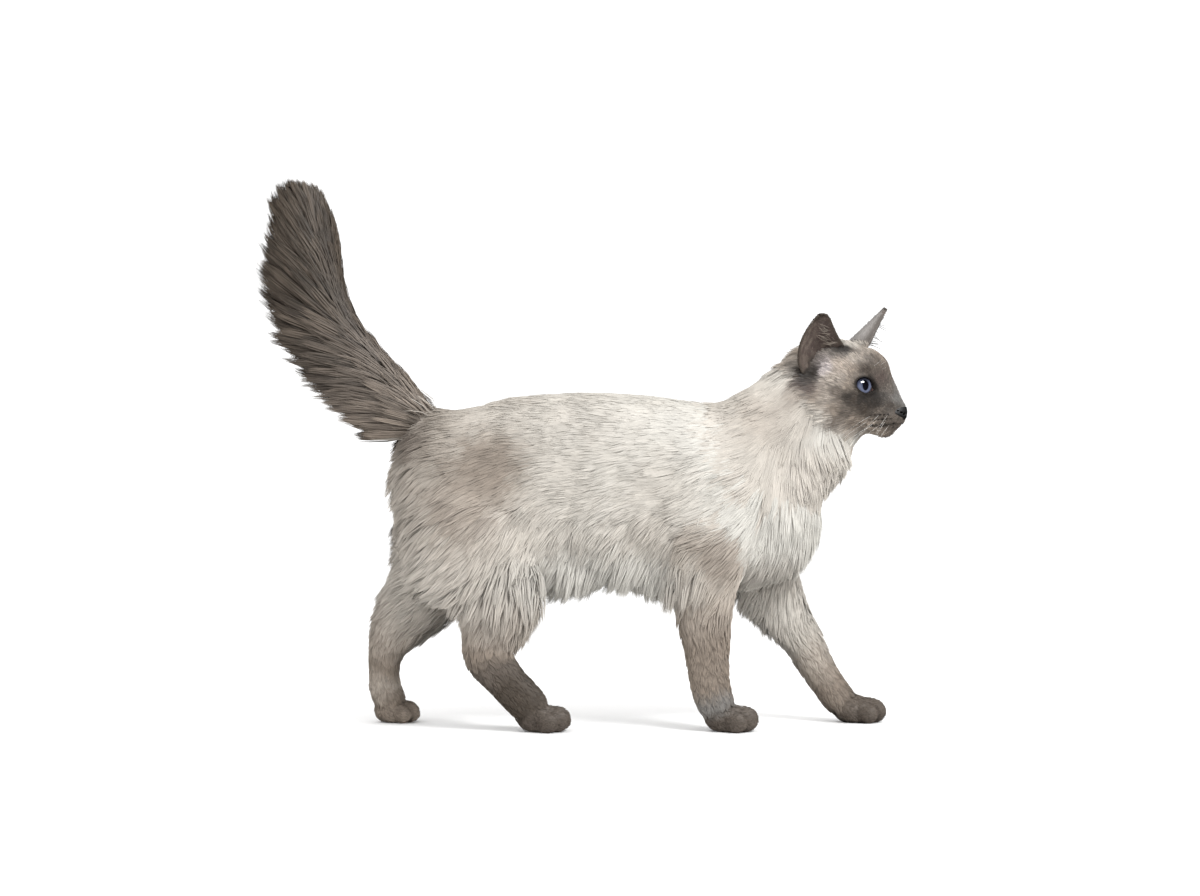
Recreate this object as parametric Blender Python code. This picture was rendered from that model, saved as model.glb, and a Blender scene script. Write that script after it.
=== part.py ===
"""A blue point Balinese cat, walking with its tail up, as a still life-size model.

X runs forward to the nose, Y to the cat's left and Z up. The paws stand on z = 0, and the
origin is on the floor under the middle of the model. Sizes are in millimetres, and MM makes
them metres. The cat is modelled whole, out to its coat, and parted with thin cuts.
"""

import math
import random

import bmesh
import bpy
import numpy as np
from mathutils import Matrix, Vector
from mathutils.bvhtree import BVHTree

MM = 0.001
GAP = 0.3  # between one node and the next
MASS_VOXEL = 3.2  # fuses the large masses
FORM_VOXEL = 1.5  # fuses the small forms with them
BODY_FACES = 2350
HEAD_FACES = 1400
HEAD_CENTRE = Vector((217, 0, 290))
HEAD_YAW = math.radians(-22)  # the face is turned a little to the cat's right

# A ring of a limb: centre x, y, z, then its reach up, down and sideways. On a leg that is
# forward and back, and on the tail back and forward.
TORSO = (
    (-157, 0, 214, 8, 10, 8),
    (-150, 0, 214, 36, 40, 24),
    (-136, 0, 212, 50, 60, 38),
    (-116, 0, 208, 60, 70, 46),
    (-90, 0, 204, 71, 76, 50),
    (-58, 0, 202, 79, 80, 53),
    (-25, 0, 202, 82, 80, 56),
    (12, 0, 206, 79, 78, 59),
    (46, 0, 206, 77, 77, 60),
    (76, 0, 202, 77, 80, 60),
    (104, 0, 198, 76, 84, 58),
    (132, 0, 194, 68, 82, 54),
    (158, 0, 188, 58, 74, 48),
    (180, 0, 184, 46, 60, 40),
    (196, 0, 182, 32, 42, 28),
    (205, 0, 182, 12, 16, 12),
)
NECK = (
    (104, 0, 190, 40, 40, 34),
    (128, 0, 208, 70, 64, 50),
    (152, 0, 230, 62, 62, 47),
    (172, 0, 248, 56, 56, 43),
    (190, 0, 266, 52, 50, 40),
    (204, 0, 281, 46, 44, 37),
    (214, 0, 292, 24, 24, 20),
)
TAIL = (
    (-112, 0, 226, 14, 10, 12),
    (-124, 0, 242, 22, 15, 15),
    (-142, 0, 262, 22, 12, 13),
    (-162, 0, 286, 24, 10, 12),
    (-184, 0, 311, 25, 9, 12),
    (-204, 0, 336, 25, 9, 12),
    (-217, 0, 362, 24, 9, 12),
    (-225, 0, 388, 20, 9, 11),
    (-230, 0, 413, 15, 9, 10),
    (-234, 0, 434, 9, 7, 7),
    (-236, 0, 446, 3, 3, 3),
)
FORE_LEG_RIGHT = (
    (112, -30, 196, 34, 36, 22),
    (106, -34, 160, 36, 38, 25),
    (102, -34, 128, 30, 32, 24),
    (101, -33, 104, 24, 25, 20),
    (103, -32, 84, 20, 20, 17),
    (105, -32, 63, 17, 16.5, 15),
    (107, -32, 44, 14.5, 14.5, 13.5),
    (109, -32, 31, 14.5, 13, 13.5),
    (113, -32, 19, 14, 12, 13),
    (116, -32, 10, 8, 8, 8),
)
FORE_LEG_LEFT = (
    (138, 28, 190, 38, 38, 22),
    (148, 32, 150, 36, 38, 24),
    (160, 33, 120, 30, 32, 22),
    (173, 33, 96, 23, 25, 19),
    (184, 33, 78, 20, 20, 17),
    (197, 33, 57, 16.5, 16, 15),
    (210, 33, 37, 13.5, 13.5, 13.5),
    (218, 33, 25, 13.5, 13, 13.5),
    (224, 33, 16, 12, 12, 12.5),
    (228, 33, 9, 7, 7, 8),
)
HIND_LEG_RIGHT = (
    (-100, -24, 224, 34, 36, 18),
    (-98, -32, 186, 52, 50, 27),
    (-88, -36, 150, 52, 56, 29),
    (-74, -36, 118, 40, 42, 25),
    (-76, -34, 94, 33, 31, 20),
    (-81, -33, 76, 28, 23, 17),
    (-80, -33, 62, 22, 19, 15.5),
    (-66, -33, 44, 15, 14.5, 14),
    (-51, -33, 28, 14, 14, 14),
    (-42, -33, 19, 13.5, 13, 13.5),
    (-34, -33, 12, 8, 8, 8),
)
HIND_LEG_LEFT = (
    (-106, 22, 220, 30, 34, 18),
    (-112, 30, 182, 42, 44, 27),
    (-120, 34, 146, 38, 42, 28),
    (-136, 35, 118, 31, 34, 23),
    (-156, 34, 94, 25, 26, 19),
    (-168, 33, 76, 20, 19, 16),
    (-173, 33, 60, 15, 14.5, 14.5),
    (-173.5, 33, 44, 14, 14, 13.5),
    (-172.5, 33, 29, 14, 14, 13.5),
    (-168, 33, 17, 14, 12, 13.5),
    (-164, 33, 9, 8, 8, 8),
)
# Each paw: the place of its middle on the floor, its turn about Z in degrees and its size.
PAWS = {
    "fore_right": ((122, -32), -4, 1.0),
    "fore_left": ((236, 33), 4, 1.0),
    "hind_right": ((-35, -33), -4, 1.0),
    "hind_left": ((-163, 33), 4, 0.86),
}
# Toes of a right paw, from the outer one inward: forward, left, and length, width, height reach.
TOES = (
    (5, -11.5, 9.5, 6.4, 9),
    (12, -4.4, 11, 6.6, 10.5),
    (13, 4.4, 11, 6.6, 10.5),
    (6.5, 11.2, 9.5, 6.4, 9),
)
# Upright rings of the head in its own frame, nose along +X: x, top, bottom and half width.
HEAD = (
    (-46, 8, -12, 8),
    (-42, 22, -24, 22),
    (-32, 33, -34, 31),
    (-18, 38.5, -40, 36),
    (-4, 40.5, -42, 38),
    (10, 38.5, -43, 37),
    (21, 33, -43, 33.5),
    (29, 26, -43, 28.5),
    (34, 18.5, -44, 23),
    (38.5, 10.5, -45, 18),
    (43, 4, -44.5, 14.5),
    (47.5, -3, -42, 13),
    (51.5, -9, -38.5, 11.5),
    (54.5, -13, -34.5, 9.5),
    (57, -17, -29.5, 7),
    (58.4, -20, -25, 3),
)
# Swells and hollows of both sides of the face: centre, radius and how far it is pushed.
FACE_FORMS = {
    "brow": ((30, 14, 15), 8, (1.2, 1.0, 1.6)),
    "eye_hollow": ((39, 12, -6), 7.5, (-2.5, -3.5, 0.0)),
    "whisker_pad": ((47.5, 9.5, -27.5), 6.5, (1.0, 5.0, -0.5)),
    "lip_hollow": ((33, 22, -30), 7, (-1.5, -2.5, 0.0)),
    "cheek": ((0, 35, -18), 17, (0.0, 4.0, -3.0)),
    "temple": ((8, 34, 14), 12, (0.0, -2.0, 0.0)),
    "ear_hollow": ((-12, 33, 18), 9, (0.0, -4.0, -3.0)),
    "stop": ((39, 0, 7), 7, (-0.8, 0.0, -0.8)),
    "bridge": ((48, 0, -6), 6, (0.4, 0.0, 1.2)),
    "philtrum": ((58, 0, -30), 3.2, (-1.8, 0.0, 0.0)),
    "under_lip": ((50, 8, -37.5), 5, (-1.5, -1.5, 0.5)),
    "chin": ((46, 0, -43), 7, (1.2, 0.0, -1.0)),
}
EYE_RADIUS = 10.4
EYE_CENTRE = Vector((23.5, 19, -2))  # the left one
EYE_AXIS = Vector((0.72, 0.69, 0.03)).normalized()
LID = 1.4
LID_REACH = 5.0  # how far above the eyeball the skin is still drawn to it
EYE_SLIT = (9.4, 7.2, 6.0)  # half length, upper and lower half height
EYE_SLANT = math.radians(16)
MOUTH = (
    (24, 20, -33),
    (32, 19, -37),
    (40, 17, -38),
    (47, 13, -36),
    (53, 6, -33.5),
    (55, 0, -32),
)
MOUTH_RADIUS = 0.8
# An ear: the middle of its base in the head's frame, the way to its tip and the way that its
# cup opens.
EARS = {
    "ear_right": ((-8, -28, 24), (0.16, -0.40, 0.90), (0.30, -0.95, 0.05)),
    "ear_left": ((10, 26, 28), (0.50, 0.18, 0.85), (0.76, 0.50, -0.40)),
}
NOSE = ((57, 0, -19.5), (7.5, 7.2, 5.2), 38)  # of its leather: centre, reach and tilt
NOSTRIL = ((59, 3.9, -22), (2.4, 1.5, 1.5), 20)
EAR_ROOT = 18  # below the middle of its base
EAR_HEIGHT = 41
EAR_HALF_WIDTH = 19
EAR_CUP = 9
EAR_THICKNESS = 1.8
# Cuts that part the cat, in order: x and z of the middle of the cut, the way into the piece in
# degrees up from +X, how far and how wide the piece may reach, and its side, 0 for both.
CUTS = {
    "head": ((202, 281), 34.5, 150, 260, 0),
    "neck": ((162, 232), 47, 160, 280, 0),
    "tail_tip": ((-230, 386), 98, 140, 200, 0),
    "tail_middle": ((-190, 322), 124, 220, 200, 0),
    "tail_base": ((-151, 248), 137.6, 300, 200, 0),
    "fore_paw_right": ((116, 20), -90, 40, 70, -1),
    "fore_shank_right": ((103, 100), -90, 130, 90, -1),
    "fore_arm_right": ((108, 152), -60.8, 180, 120, -1),
    "fore_paw_left": ((230, 20), -90, 40, 80, 1),
    "fore_shank_left": ((172, 98), -60, 160, 80, 1),
    "fore_arm_left": ((166, 133), -56.5, 180, 130, 1),
    "hind_paw_right": ((-40, 21), -90, 40, 70, -1),
    "hind_foot_right": ((-81, 68), -72, 90, 90, -1),
    "hind_shank_right": ((-76, 108), -90, 130, 120, -1),
    "hind_thigh_right": ((-95, 185), -131.2, 220, 210, -1),
    "hind_paw_left": ((-166, 20), -90, 40, 70, 1),
    "hind_foot_left": ((-170, 68), -105, 90, 90, 1),
    "hind_shank_left": ((-146, 106), -115, 130, 110, 1),
    "hind_thigh_left": ((-115, 181), -142, 240, 220, 1),
    "rump": ((-62, 200), 180, 200, 300, 0),
    "chest": ((66, 190), 0, 260, 300, 0),
}
# Locks of the long coat. Each field has the limb that carries it, where it starts and ends
# along the limb, its turns from the limb's upper side in degrees, how many rows and locks in
# the first and last row, the length at each end, the lie at each end as x and z, and how far
# a lock lifts.
LOCK_FIELDS = {
    "plume": (TAIL, (0.2, 0.98), (-122, 122), (12, 7, 4), (54, 32), ((-0.97, 0.1), (-0.6, 0.8)), 0.48),
    "tail_front": (TAIL, (0.3, 0.95), (145, 215), (5, 2, 2), (26, 32), ((-0.5, 0.8), (0.2, 1)), 0.12),
    "breeches_right": (
        HIND_LEG_RIGHT, (0.04, 0.52), (150, 232), (8, 3, 3), (30, 20), ((-0.9, -0.45), (-0.7, -0.7)), 0.22
    ),
    "breeches_left": (
        HIND_LEG_LEFT, (0.04, 0.52), (128, 210), (8, 3, 3), (30, 20), ((-0.9, -0.45), (-0.8, -0.6)), 0.22
    ),
    "belly": (TORSO, (0.38, 0.74), (128, 232), (11, 4, 4), (22, 26), ((-0.5, -0.85), (-0.35, -0.93)), 0.16),
    "ruff": (NECK, (0.5, 0.98), (95, 265), (5, 7, 6), (30, 26), ((0.25, -0.97), (0.05, -1)), 0.2),
    "chest": (TORSO, (0.8, 0.94), (75, 285), (4, 8, 7), (28, 26), ((-0.3, -0.95), (0.2, -0.98)), 0.18),
    "elbow_right": (
        FORE_LEG_RIGHT, (0.1, 0.42), (180, 290), (3, 3, 3), (22, 18), ((-0.75, -0.65), (-0.6, -0.8)), 0.18
    ),
    "elbow_left": (
        FORE_LEG_LEFT, (0.1, 0.4), (70, 180), (3, 3, 3), (22, 18), ((-0.6, -0.8), (-0.5, -0.85)), 0.18
    ),
}
LOCK_HALF_WIDTH = 7.2
LOCK_HALF_DEPTH = 1.6
LOCK_SINK = 4.0
CREAM = (0.72, 0.66, 0.58)
POINT = (0.16, 0.14, 0.13)
SMOKE = (0.34, 0.30, 0.27)
NOSE_LEATHER = (0.05, 0.05, 0.06)
EYE_BLUE = (0.20, 0.32, 0.72)
COLOURS = {"tail": POINT, "ear": SMOKE, "fore": SMOKE, "hind": SMOKE, "nose": NOSE_LEATHER, "eye": EYE_BLUE}


def clear_scene():
    for thing in list(bpy.data.objects):
        bpy.data.objects.remove(thing)


def object_from(bm, name):
    mesh = bpy.data.meshes.new(name)
    bm.to_mesh(mesh)
    bm.free()
    made = bpy.data.objects.new(name, mesh)
    bpy.context.scene.collection.objects.link(made)
    return made


def along_rows(rows, t):
    """A smooth curve through every row of numbers, from t = 0 to t = 1."""
    last = len(rows) - 1
    place = min(max(t, 0.0), 1.0) * last
    i = min(int(place), last - 1)
    f = place - i
    before, a, b, after = (rows[min(max(i + k, 0), last)] for k in (-1, 0, 1, 2))
    return 0.5 * (
        2 * a
        + (b - before) * f
        + (2 * before - 5 * a + 4 * b - after) * f**2
        + (3 * a - before - 3 * b + after) * f**3
    )


def add_limb(bm, stations, around=28, steps=4, shape=2.2, upright=False):
    """A closed body through the rings, each square to the line of their centres or upright."""
    rows = np.array(stations, float)
    rings = (len(rows) - 1) * steps + 1
    made = bmesh.ops.create_uvsphere(bm, u_segments=around, v_segments=rings + 1, radius=1)
    for vert in made["verts"]:
        turn = math.atan2(vert.co.y, vert.co.x)
        level = round(math.acos(max(-1.0, min(1.0, -vert.co.z))) / math.pi * (rings + 1))
        t = (level - 1) / (rings - 1)
        x, y, z, up, down, side = along_rows(rows, t)
        ahead = along_rows(rows, t + 0.01) - along_rows(rows, t - 0.01)
        flat = Vector((ahead[0], 0, ahead[2])).normalized()
        rise = Vector((0, 0, 1)) if upright else Vector((-flat.z, 0, flat.x))
        if level in (0, rings + 1):
            vert.co = Vector((x, y, z)) * MM
            continue
        c, s = math.cos(turn), math.sin(turn)
        c, s = (math.copysign(abs(v) ** (2 / shape), v) for v in (c, s))
        reach = rise * (up if c > 0 else down) * c + Vector((0, side, 0)) * s
        vert.co = (Vector((x, y, z)) + reach) * MM
    return made["verts"]


def add_oval(bm, centre, reach, tilt=0.0, turn=0.0, around=24):
    """An ellipsoid, tilted nose down by tilt and then turned about Z, both in degrees."""
    place = (
        Matrix.Translation(Vector(centre) * MM)
        @ Matrix.Rotation(math.radians(turn), 4, "Z")
        @ Matrix.Rotation(math.radians(tilt), 4, "Y")
        @ Matrix.Diagonal((*(r * MM for r in reach), 1))
    )
    made = bmesh.ops.create_uvsphere(
        bm, u_segments=around, v_segments=around // 2, radius=1, matrix=place
    )
    return made["verts"]


def head_frame():
    return Matrix.Translation(HEAD_CENTRE * MM) @ Matrix.Rotation(HEAD_YAW, 4, "Z")


def add_head(bm):
    rings = [
        (x, 0, (top + bottom) / 2, (top - bottom) / 2, (top - bottom) / 2, side)
        for x, top, bottom, side in HEAD
    ]
    verts = add_limb(bm, rings, around=40, shape=2.15, upright=True)
    bmesh.ops.transform(bm, matrix=head_frame(), verts=verts)


def add_paw(bm, middle, turn, size, side):
    """A paw of four toes, an instep and a pad. side is -1 on the right."""
    x, y = middle
    verts = add_oval(bm, (-5, 0, 11), (17, 14, 12.5))
    verts += add_oval(bm, (-2, 0, 5), (15, 12.5, 7))
    for forward, left, *reach in TOES:
        spread = -side * left
        verts += add_oval(
            bm, (forward, spread, reach[2] - 1.2), reach, 6, spread * 1.1, around=16
        )
    place = (
        Matrix.Translation(Vector((x, y, 0)) * MM)
        @ Matrix.Rotation(math.radians(turn), 4, "Z")
        @ Matrix.Diagonal((size, size, size, 1))
    )
    bmesh.ops.transform(bm, matrix=place, verts=verts)


def applied(made):
    """The object with its modifiers made part of its mesh."""
    graph = bpy.context.evaluated_depsgraph_get()
    mesh = bpy.data.meshes.new_from_object(made.evaluated_get(graph))
    made.modifiers.clear()
    made.data = mesh
    return made


def fused(made, voxel, rounds):
    """The overlapping shapes of one mesh made one surface, and their joins smoothed."""
    remesh = made.modifiers.new("fuse", "REMESH")
    remesh.mode = "VOXEL"
    remesh.voxel_size = voxel * MM
    smooth = made.modifiers.new("smooth", "SMOOTH")
    smooth.factor = 0.5
    smooth.iterations = rounds
    return applied(made)


def masses():
    """The large shapes of the body and head, blended into one another."""
    bm = bmesh.new()
    for limb in (TORSO, NECK, TAIL):
        add_limb(bm, limb)
    for limb in (FORE_LEG_RIGHT, FORE_LEG_LEFT, HIND_LEG_RIGHT, HIND_LEG_LEFT):
        add_limb(bm, limb, around=20)
    add_head(bm)
    return fused(object_from(bm, "masses"), MASS_VOXEL, 9)


def points_of(mesh):
    points = np.empty(len(mesh.vertices) * 3)
    mesh.vertices.foreach_get("co", points)
    return points.reshape(-1, 3)


def shape_face(mesh):
    """Pushes the face's swells and hollows out or in, and wraps the lids round the eyes."""
    place = np.array(head_frame())
    points = (points_of(mesh) - place[:3, 3]) @ place[:3, :3] / MM
    for centre, radius, push in FACE_FORMS.values():
        for side in (-1, 1) if centre[1] else (1,):
            mirror = np.array((1, side, 1))
            away = ((points - np.array(centre) * mirror) ** 2).sum(axis=1)
            points += np.exp(-away / radius**2)[:, None] * np.array(push) * mirror
    for side in (-1, 1):
        mirror = np.array((1, side, 1))
        arm = points - np.array(EYE_CENTRE) * mirror
        length = np.linalg.norm(arm, axis=1)
        facing = (arm @ (np.array(EYE_AXIS) * mirror)) / np.maximum(length, 1e-6)
        weight = np.clip((facing - 0.1) / 0.5, 0, 1)
        weight = weight**2 * (3 - 2 * weight)
        weight *= np.exp(-((np.maximum(length - EYE_RADIUS - LID, 0) / LID_REACH) ** 2))
        goal = length + (EYE_RADIUS + LID - length) * weight
        scale = goal / np.maximum(length, 1e-6)
        points = np.array(EYE_CENTRE) * mirror + arm * scale[:, None]
    points = (points * MM) @ place[:3, :3].T + place[:3, 3]
    mesh.vertices.foreach_set("co", points.ravel())
    mesh.update()


def whole_cat():
    body = masses()
    bm = bmesh.new()
    bm.from_mesh(body.data)
    bpy.data.objects.remove(body)
    add_head(bm)
    for name, (middle, turn, size) in PAWS.items():
        add_paw(bm, middle, turn, size, -1 if name.endswith("right") else 1)
    cat = fused(object_from(bm, "cat"), FORM_VOXEL, 5)
    shape_face(cat.data)
    return cat


def coarser(made, faces):
    """A copy with about this many faces, fewest where the surface is plain."""
    copy = bpy.data.objects.new(made.name + "_coarse", made.data.copy())
    bpy.context.scene.collection.objects.link(copy)
    decimate = copy.modifiers.new("coarser", "DECIMATE")
    decimate.ratio = faces / (2 * len(made.data.polygons))
    decimate.use_collapse_triangulate = True
    return applied(copy)


def islands_of(bm):
    """The vertices of each surface that is joined together, fewest first."""
    left = set(bm.verts)
    islands = []
    while left:
        island, edge = set(), [left.pop()]
        while edge:
            vert = edge.pop()
            island.add(vert)
            for link in vert.link_edges:
                other = link.other_vert(vert)
                if other in left:
                    left.remove(other)
                    edge.append(other)
        islands.append(island)
    return sorted(islands, key=len)


def largest(made):
    """Drops all but the largest closed surface, such as a scrap that a cut leaves."""
    bm = bmesh.new()
    bm.from_mesh(made.data)
    for island in islands_of(bm)[:-1]:
        bmesh.ops.delete(bm, geom=list(island), context="VERTS")
    bm.to_mesh(made.data)
    bm.free()
    return made


def combined(made, other, operation):
    """The object after a Boolean with another, which stays in the scene."""
    cut = made.modifiers.new("cut", "BOOLEAN")
    cut.operation = operation
    cut.solver = "MANIFOLD"
    cut.object = other
    return applied(made)


def duplicate(made, name):
    copy = bpy.data.objects.new(name, made.data.copy())
    bpy.context.scene.collection.objects.link(copy)
    return copy


def cell(middle, angle, reach, width, side, more):
    """A box on one side of a cut, with its faces moved out by more."""
    x, z = middle
    half = 200
    low, high = -half, half
    if side < 0:
        high = -GAP / 2 + more
    if side > 0:
        low = GAP / 2 - more
    bm = bmesh.new()
    size = Matrix.Diagonal((reach + 2 * more, high - low, width + 2 * more, 1))
    place = (
        Matrix.Translation((x, (low + high) / 2, z))
        @ Matrix.Rotation(math.radians(-angle), 4, "Y")
        @ Matrix.Translation((reach / 2, 0, 0))
        @ size
    )
    bmesh.ops.create_cube(bm, size=1, matrix=Matrix.Scale(MM, 4) @ place)
    return object_from(bm, "cell")


def part_from(rest, name, cut):
    """Cuts one piece from the rest, a gap away from it."""
    piece = duplicate(rest, name)
    inside, outside = cell(*cut, more=0), cell(*cut, more=GAP)
    combined(piece, inside, "INTERSECT")
    combined(rest, outside, "DIFFERENCE")
    for cutter in (inside, outside):
        bpy.data.objects.remove(cutter)
    return largest(piece)


def solid(bm, name):
    """A cutter made of the bmesh."""
    bmesh.ops.recalc_face_normals(bm, faces=bm.faces)
    return object_from(bm, name)


def cut_away(made, bm, operation="DIFFERENCE"):
    cutter = solid(bm, "cutter")
    combined(made, cutter, operation)
    bpy.data.objects.remove(cutter)


def stand_on_floor(made):
    """Cuts off what is below z = 0, so that every pad is flat at one level."""
    bm = bmesh.new()
    below = Matrix.Translation((0, 0, -0.05)) @ Matrix.Diagonal((1, 1, 0.1, 1))
    bmesh.ops.create_cube(bm, size=1, matrix=below)
    cut_away(made, bm)


def eye_slit(side):
    """An almond prism along the eye's axis, as long as the lids are deep."""
    length, upper, lower = EYE_SLIT
    axis = Vector((EYE_AXIS.x, side * EYE_AXIS.y, EYE_AXIS.z))
    along = Vector((0, 0, 1)).cross(axis).normalized() * side
    rise = axis.cross(along).normalized() * side
    along, rise = (
        along * math.cos(EYE_SLANT) + rise * math.sin(EYE_SLANT),
        rise * math.cos(EYE_SLANT) - along * math.sin(EYE_SLANT),
    )
    centre = Vector((EYE_CENTRE.x, side * EYE_CENTRE.y, EYE_CENTRE.z))
    steps = 9
    outline = []
    for height in (upper, -lower):
        for i in range(steps):
            turn = math.pi * i / steps
            outline.append((length * math.cos(turn), height * math.sin(turn)))
    outline = outline[:steps] + [(-a, b) for a, b in outline[steps:]]
    bm = bmesh.new()
    ring = [bm.verts.new((centre + axis * 4 + along * a + rise * b) * MM) for a, b in outline]
    face = bm.faces.new(ring)
    grown = bmesh.ops.extrude_face_region(bm, geom=[face])
    moved = [g for g in grown["geom"] if isinstance(g, bmesh.types.BMVert)]
    bmesh.ops.translate(bm, vec=axis * 16 * MM, verts=moved)
    bmesh.ops.transform(bm, matrix=head_frame(), verts=bm.verts)
    return bm


def tube(points, radius, name="tube"):
    """A closed round tube through points in metres."""
    curve = bpy.data.curves.new(name, "CURVE")
    curve.dimensions = "3D"
    curve.bevel_depth = radius * MM
    curve.bevel_resolution = 0
    curve.use_fill_caps = True
    spline = curve.splines.new("POLY")
    spline.points.add(len(points) - 1)
    for place, point in zip(points, spline.points):
        point.co = (*place, 1)
    made = bpy.data.objects.new(name, curve)
    bpy.context.scene.collection.objects.link(made)
    graph = bpy.context.evaluated_depsgraph_get()
    mesh = bpy.data.meshes.new_from_object(made.evaluated_get(graph))
    bpy.data.objects.remove(made)
    bm = bmesh.new()
    bm.from_mesh(mesh)
    bmesh.ops.remove_doubles(bm, verts=bm.verts, dist=1e-6)
    return bm


def on_surface(made, places):
    """The nearest points of the surface to places in the head's frame."""
    bm = bmesh.new()
    bm.from_mesh(made.data)
    tree = BVHTree.FromBMesh(bm)
    bm.free()
    frame = head_frame()
    return [tree.find_nearest(frame @ (Vector(place) * MM))[0] for place in places]


def make_nose(head):
    """Parts the nose leather from the head, and opens its nostrils."""
    centre, reach, tilt = NOSE
    nose = duplicate(head, "nose")
    for made, more, operation in ((nose, 0, "INTERSECT"), (head, GAP, "DIFFERENCE")):
        bm = bmesh.new()
        verts = add_oval(bm, centre, [r + more for r in reach], tilt, around=20)
        bmesh.ops.transform(bm, matrix=head_frame(), verts=verts)
        cut_away(made, bm, operation)
    (x, y, z), reach, tilt = NOSTRIL
    for side in (-1, 1):
        bm = bmesh.new()
        verts = add_oval(bm, (x, side * y, z), reach, tilt, side * 35, around=8)
        bmesh.ops.transform(bm, matrix=head_frame(), verts=verts)
        cut_away(nose, bm)
    return largest(nose)


def carve_head(head):
    """Eye sockets and lids, the line of the mouth and the groove above it."""
    for side in (-1, 1):
        bm = bmesh.new()
        centre = (EYE_CENTRE.x, side * EYE_CENTRE.y, EYE_CENTRE.z)
        hollow = EYE_RADIUS + GAP
        verts = add_oval(bm, centre, (hollow,) * 3, around=20)
        bmesh.ops.transform(bm, matrix=head_frame(), verts=verts)
        cut_away(head, bm)
        cut_away(head, eye_slit(side))
    rows = np.array(MOUTH, float)
    line = [along_rows(rows, i / 12) for i in range(13)]
    line += [point * (1, -1, 1) for point in reversed(line[:-1])]
    path = on_surface(head, line)
    cut_away(head, tube(path, MOUTH_RADIUS))


def make_eye(name, side):
    bm = bmesh.new()
    centre = (EYE_CENTRE.x, side * EYE_CENTRE.y, EYE_CENTRE.z)
    verts = add_oval(bm, centre, (EYE_RADIUS,) * 3, around=14)
    bmesh.ops.transform(bm, matrix=head_frame(), verts=verts)
    return object_from(bm, name)


def make_ear(name, base, tip, facing):
    """A cupped shell, its opening toward facing, its root inside the head."""
    up = Vector(tip).normalized()
    out = Vector(facing)
    out = (out - up * out.dot(up)).normalized()
    across = up.cross(out)
    bm = bmesh.new()
    columns, rows = 8, 8
    made = bmesh.ops.create_grid(bm, x_segments=columns, y_segments=rows, size=1)
    for vert in made["verts"]:
        u, v = vert.co.x, 1 - ((1 - vert.co.y) / 2) ** 1.6
        half = EAR_HALF_WIDTH * (1 - v**1.2) ** 0.6
        rise = -EAR_ROOT + (EAR_HEIGHT + EAR_ROOT) * v
        depth = -EAR_CUP * (1 - u * u) * (1 - 0.7 * v) + 3 * v
        place = Vector(base) + across * (u * half) + up * rise + out * depth
        vert.co = place * MM
    bmesh.ops.remove_doubles(bm, verts=bm.verts, dist=1e-5)
    bmesh.ops.recalc_face_normals(bm, faces=bm.faces)
    bmesh.ops.transform(bm, matrix=head_frame(), verts=bm.verts)
    ear = object_from(bm, name)
    wall = ear.modifiers.new("wall", "SOLIDIFY")
    wall.thickness = EAR_THICKNESS * MM
    wall.offset = 0
    return applied(ear)


def grown(made, by):
    """A copy with every face moved out by this much."""
    copy = duplicate(made, made.name + "_grown")
    bm = bmesh.new()
    bm.from_mesh(copy.data)
    bm.normal_update()
    moves = [vert.normal * vert.calc_shell_factor() * by * MM for vert in bm.verts]
    for vert, move in zip(bm.verts, moves):
        vert.co += move
    bm.to_mesh(copy.data)
    bm.free()
    return copy


def finish(made):
    """Gives a node its own material and smooth shading."""
    colour = COLOURS.get(made.name.split("_")[0], CREAM)
    material = bpy.data.materials.new(made.name)
    material.use_nodes = True
    shader = material.node_tree.nodes["Principled BSDF"]
    wet = made.name.startswith("eye")
    shader.inputs["Base Color"].default_value = (*colour, 1)
    shader.inputs["Roughness"].default_value = 0.08 if wet else 0.85
    shader.inputs["Metallic"].default_value = 0.0
    made.data.materials.clear()
    made.data.materials.append(material)
    made.data.shade_smooth()
    made.data.set_sharp_from_angle(angle=math.radians(40))


def add_lock(bm, root, way, normal, length, half_width, curl):
    """A flat tapered lock of four sides. It leaves the root along way and curls toward curl."""
    made = bmesh.ops.create_uvsphere(bm, u_segments=4, v_segments=3, radius=1)
    across = way.cross(normal).normalized()
    for vert in made["verts"]:
        s = (vert.co.z + 1) / 2
        swell = math.sin(math.pi * min(1.0, 0.25 + 0.75 * s)) ** 0.8
        ring = Vector((vert.co.x, vert.co.y, 0))
        if ring.length > 1e-4:
            ring.normalize()
        line = root + (way * s + curl * s * s) * length
        ahead = (way + curl * 2 * s).normalized()
        rise = across.cross(ahead).normalized()
        wide = across * ring.x * half_width * swell
        deep = rise * ring.y * LOCK_HALF_DEPTH * swell
        vert.co = (line + wide + deep) * MM


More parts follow.
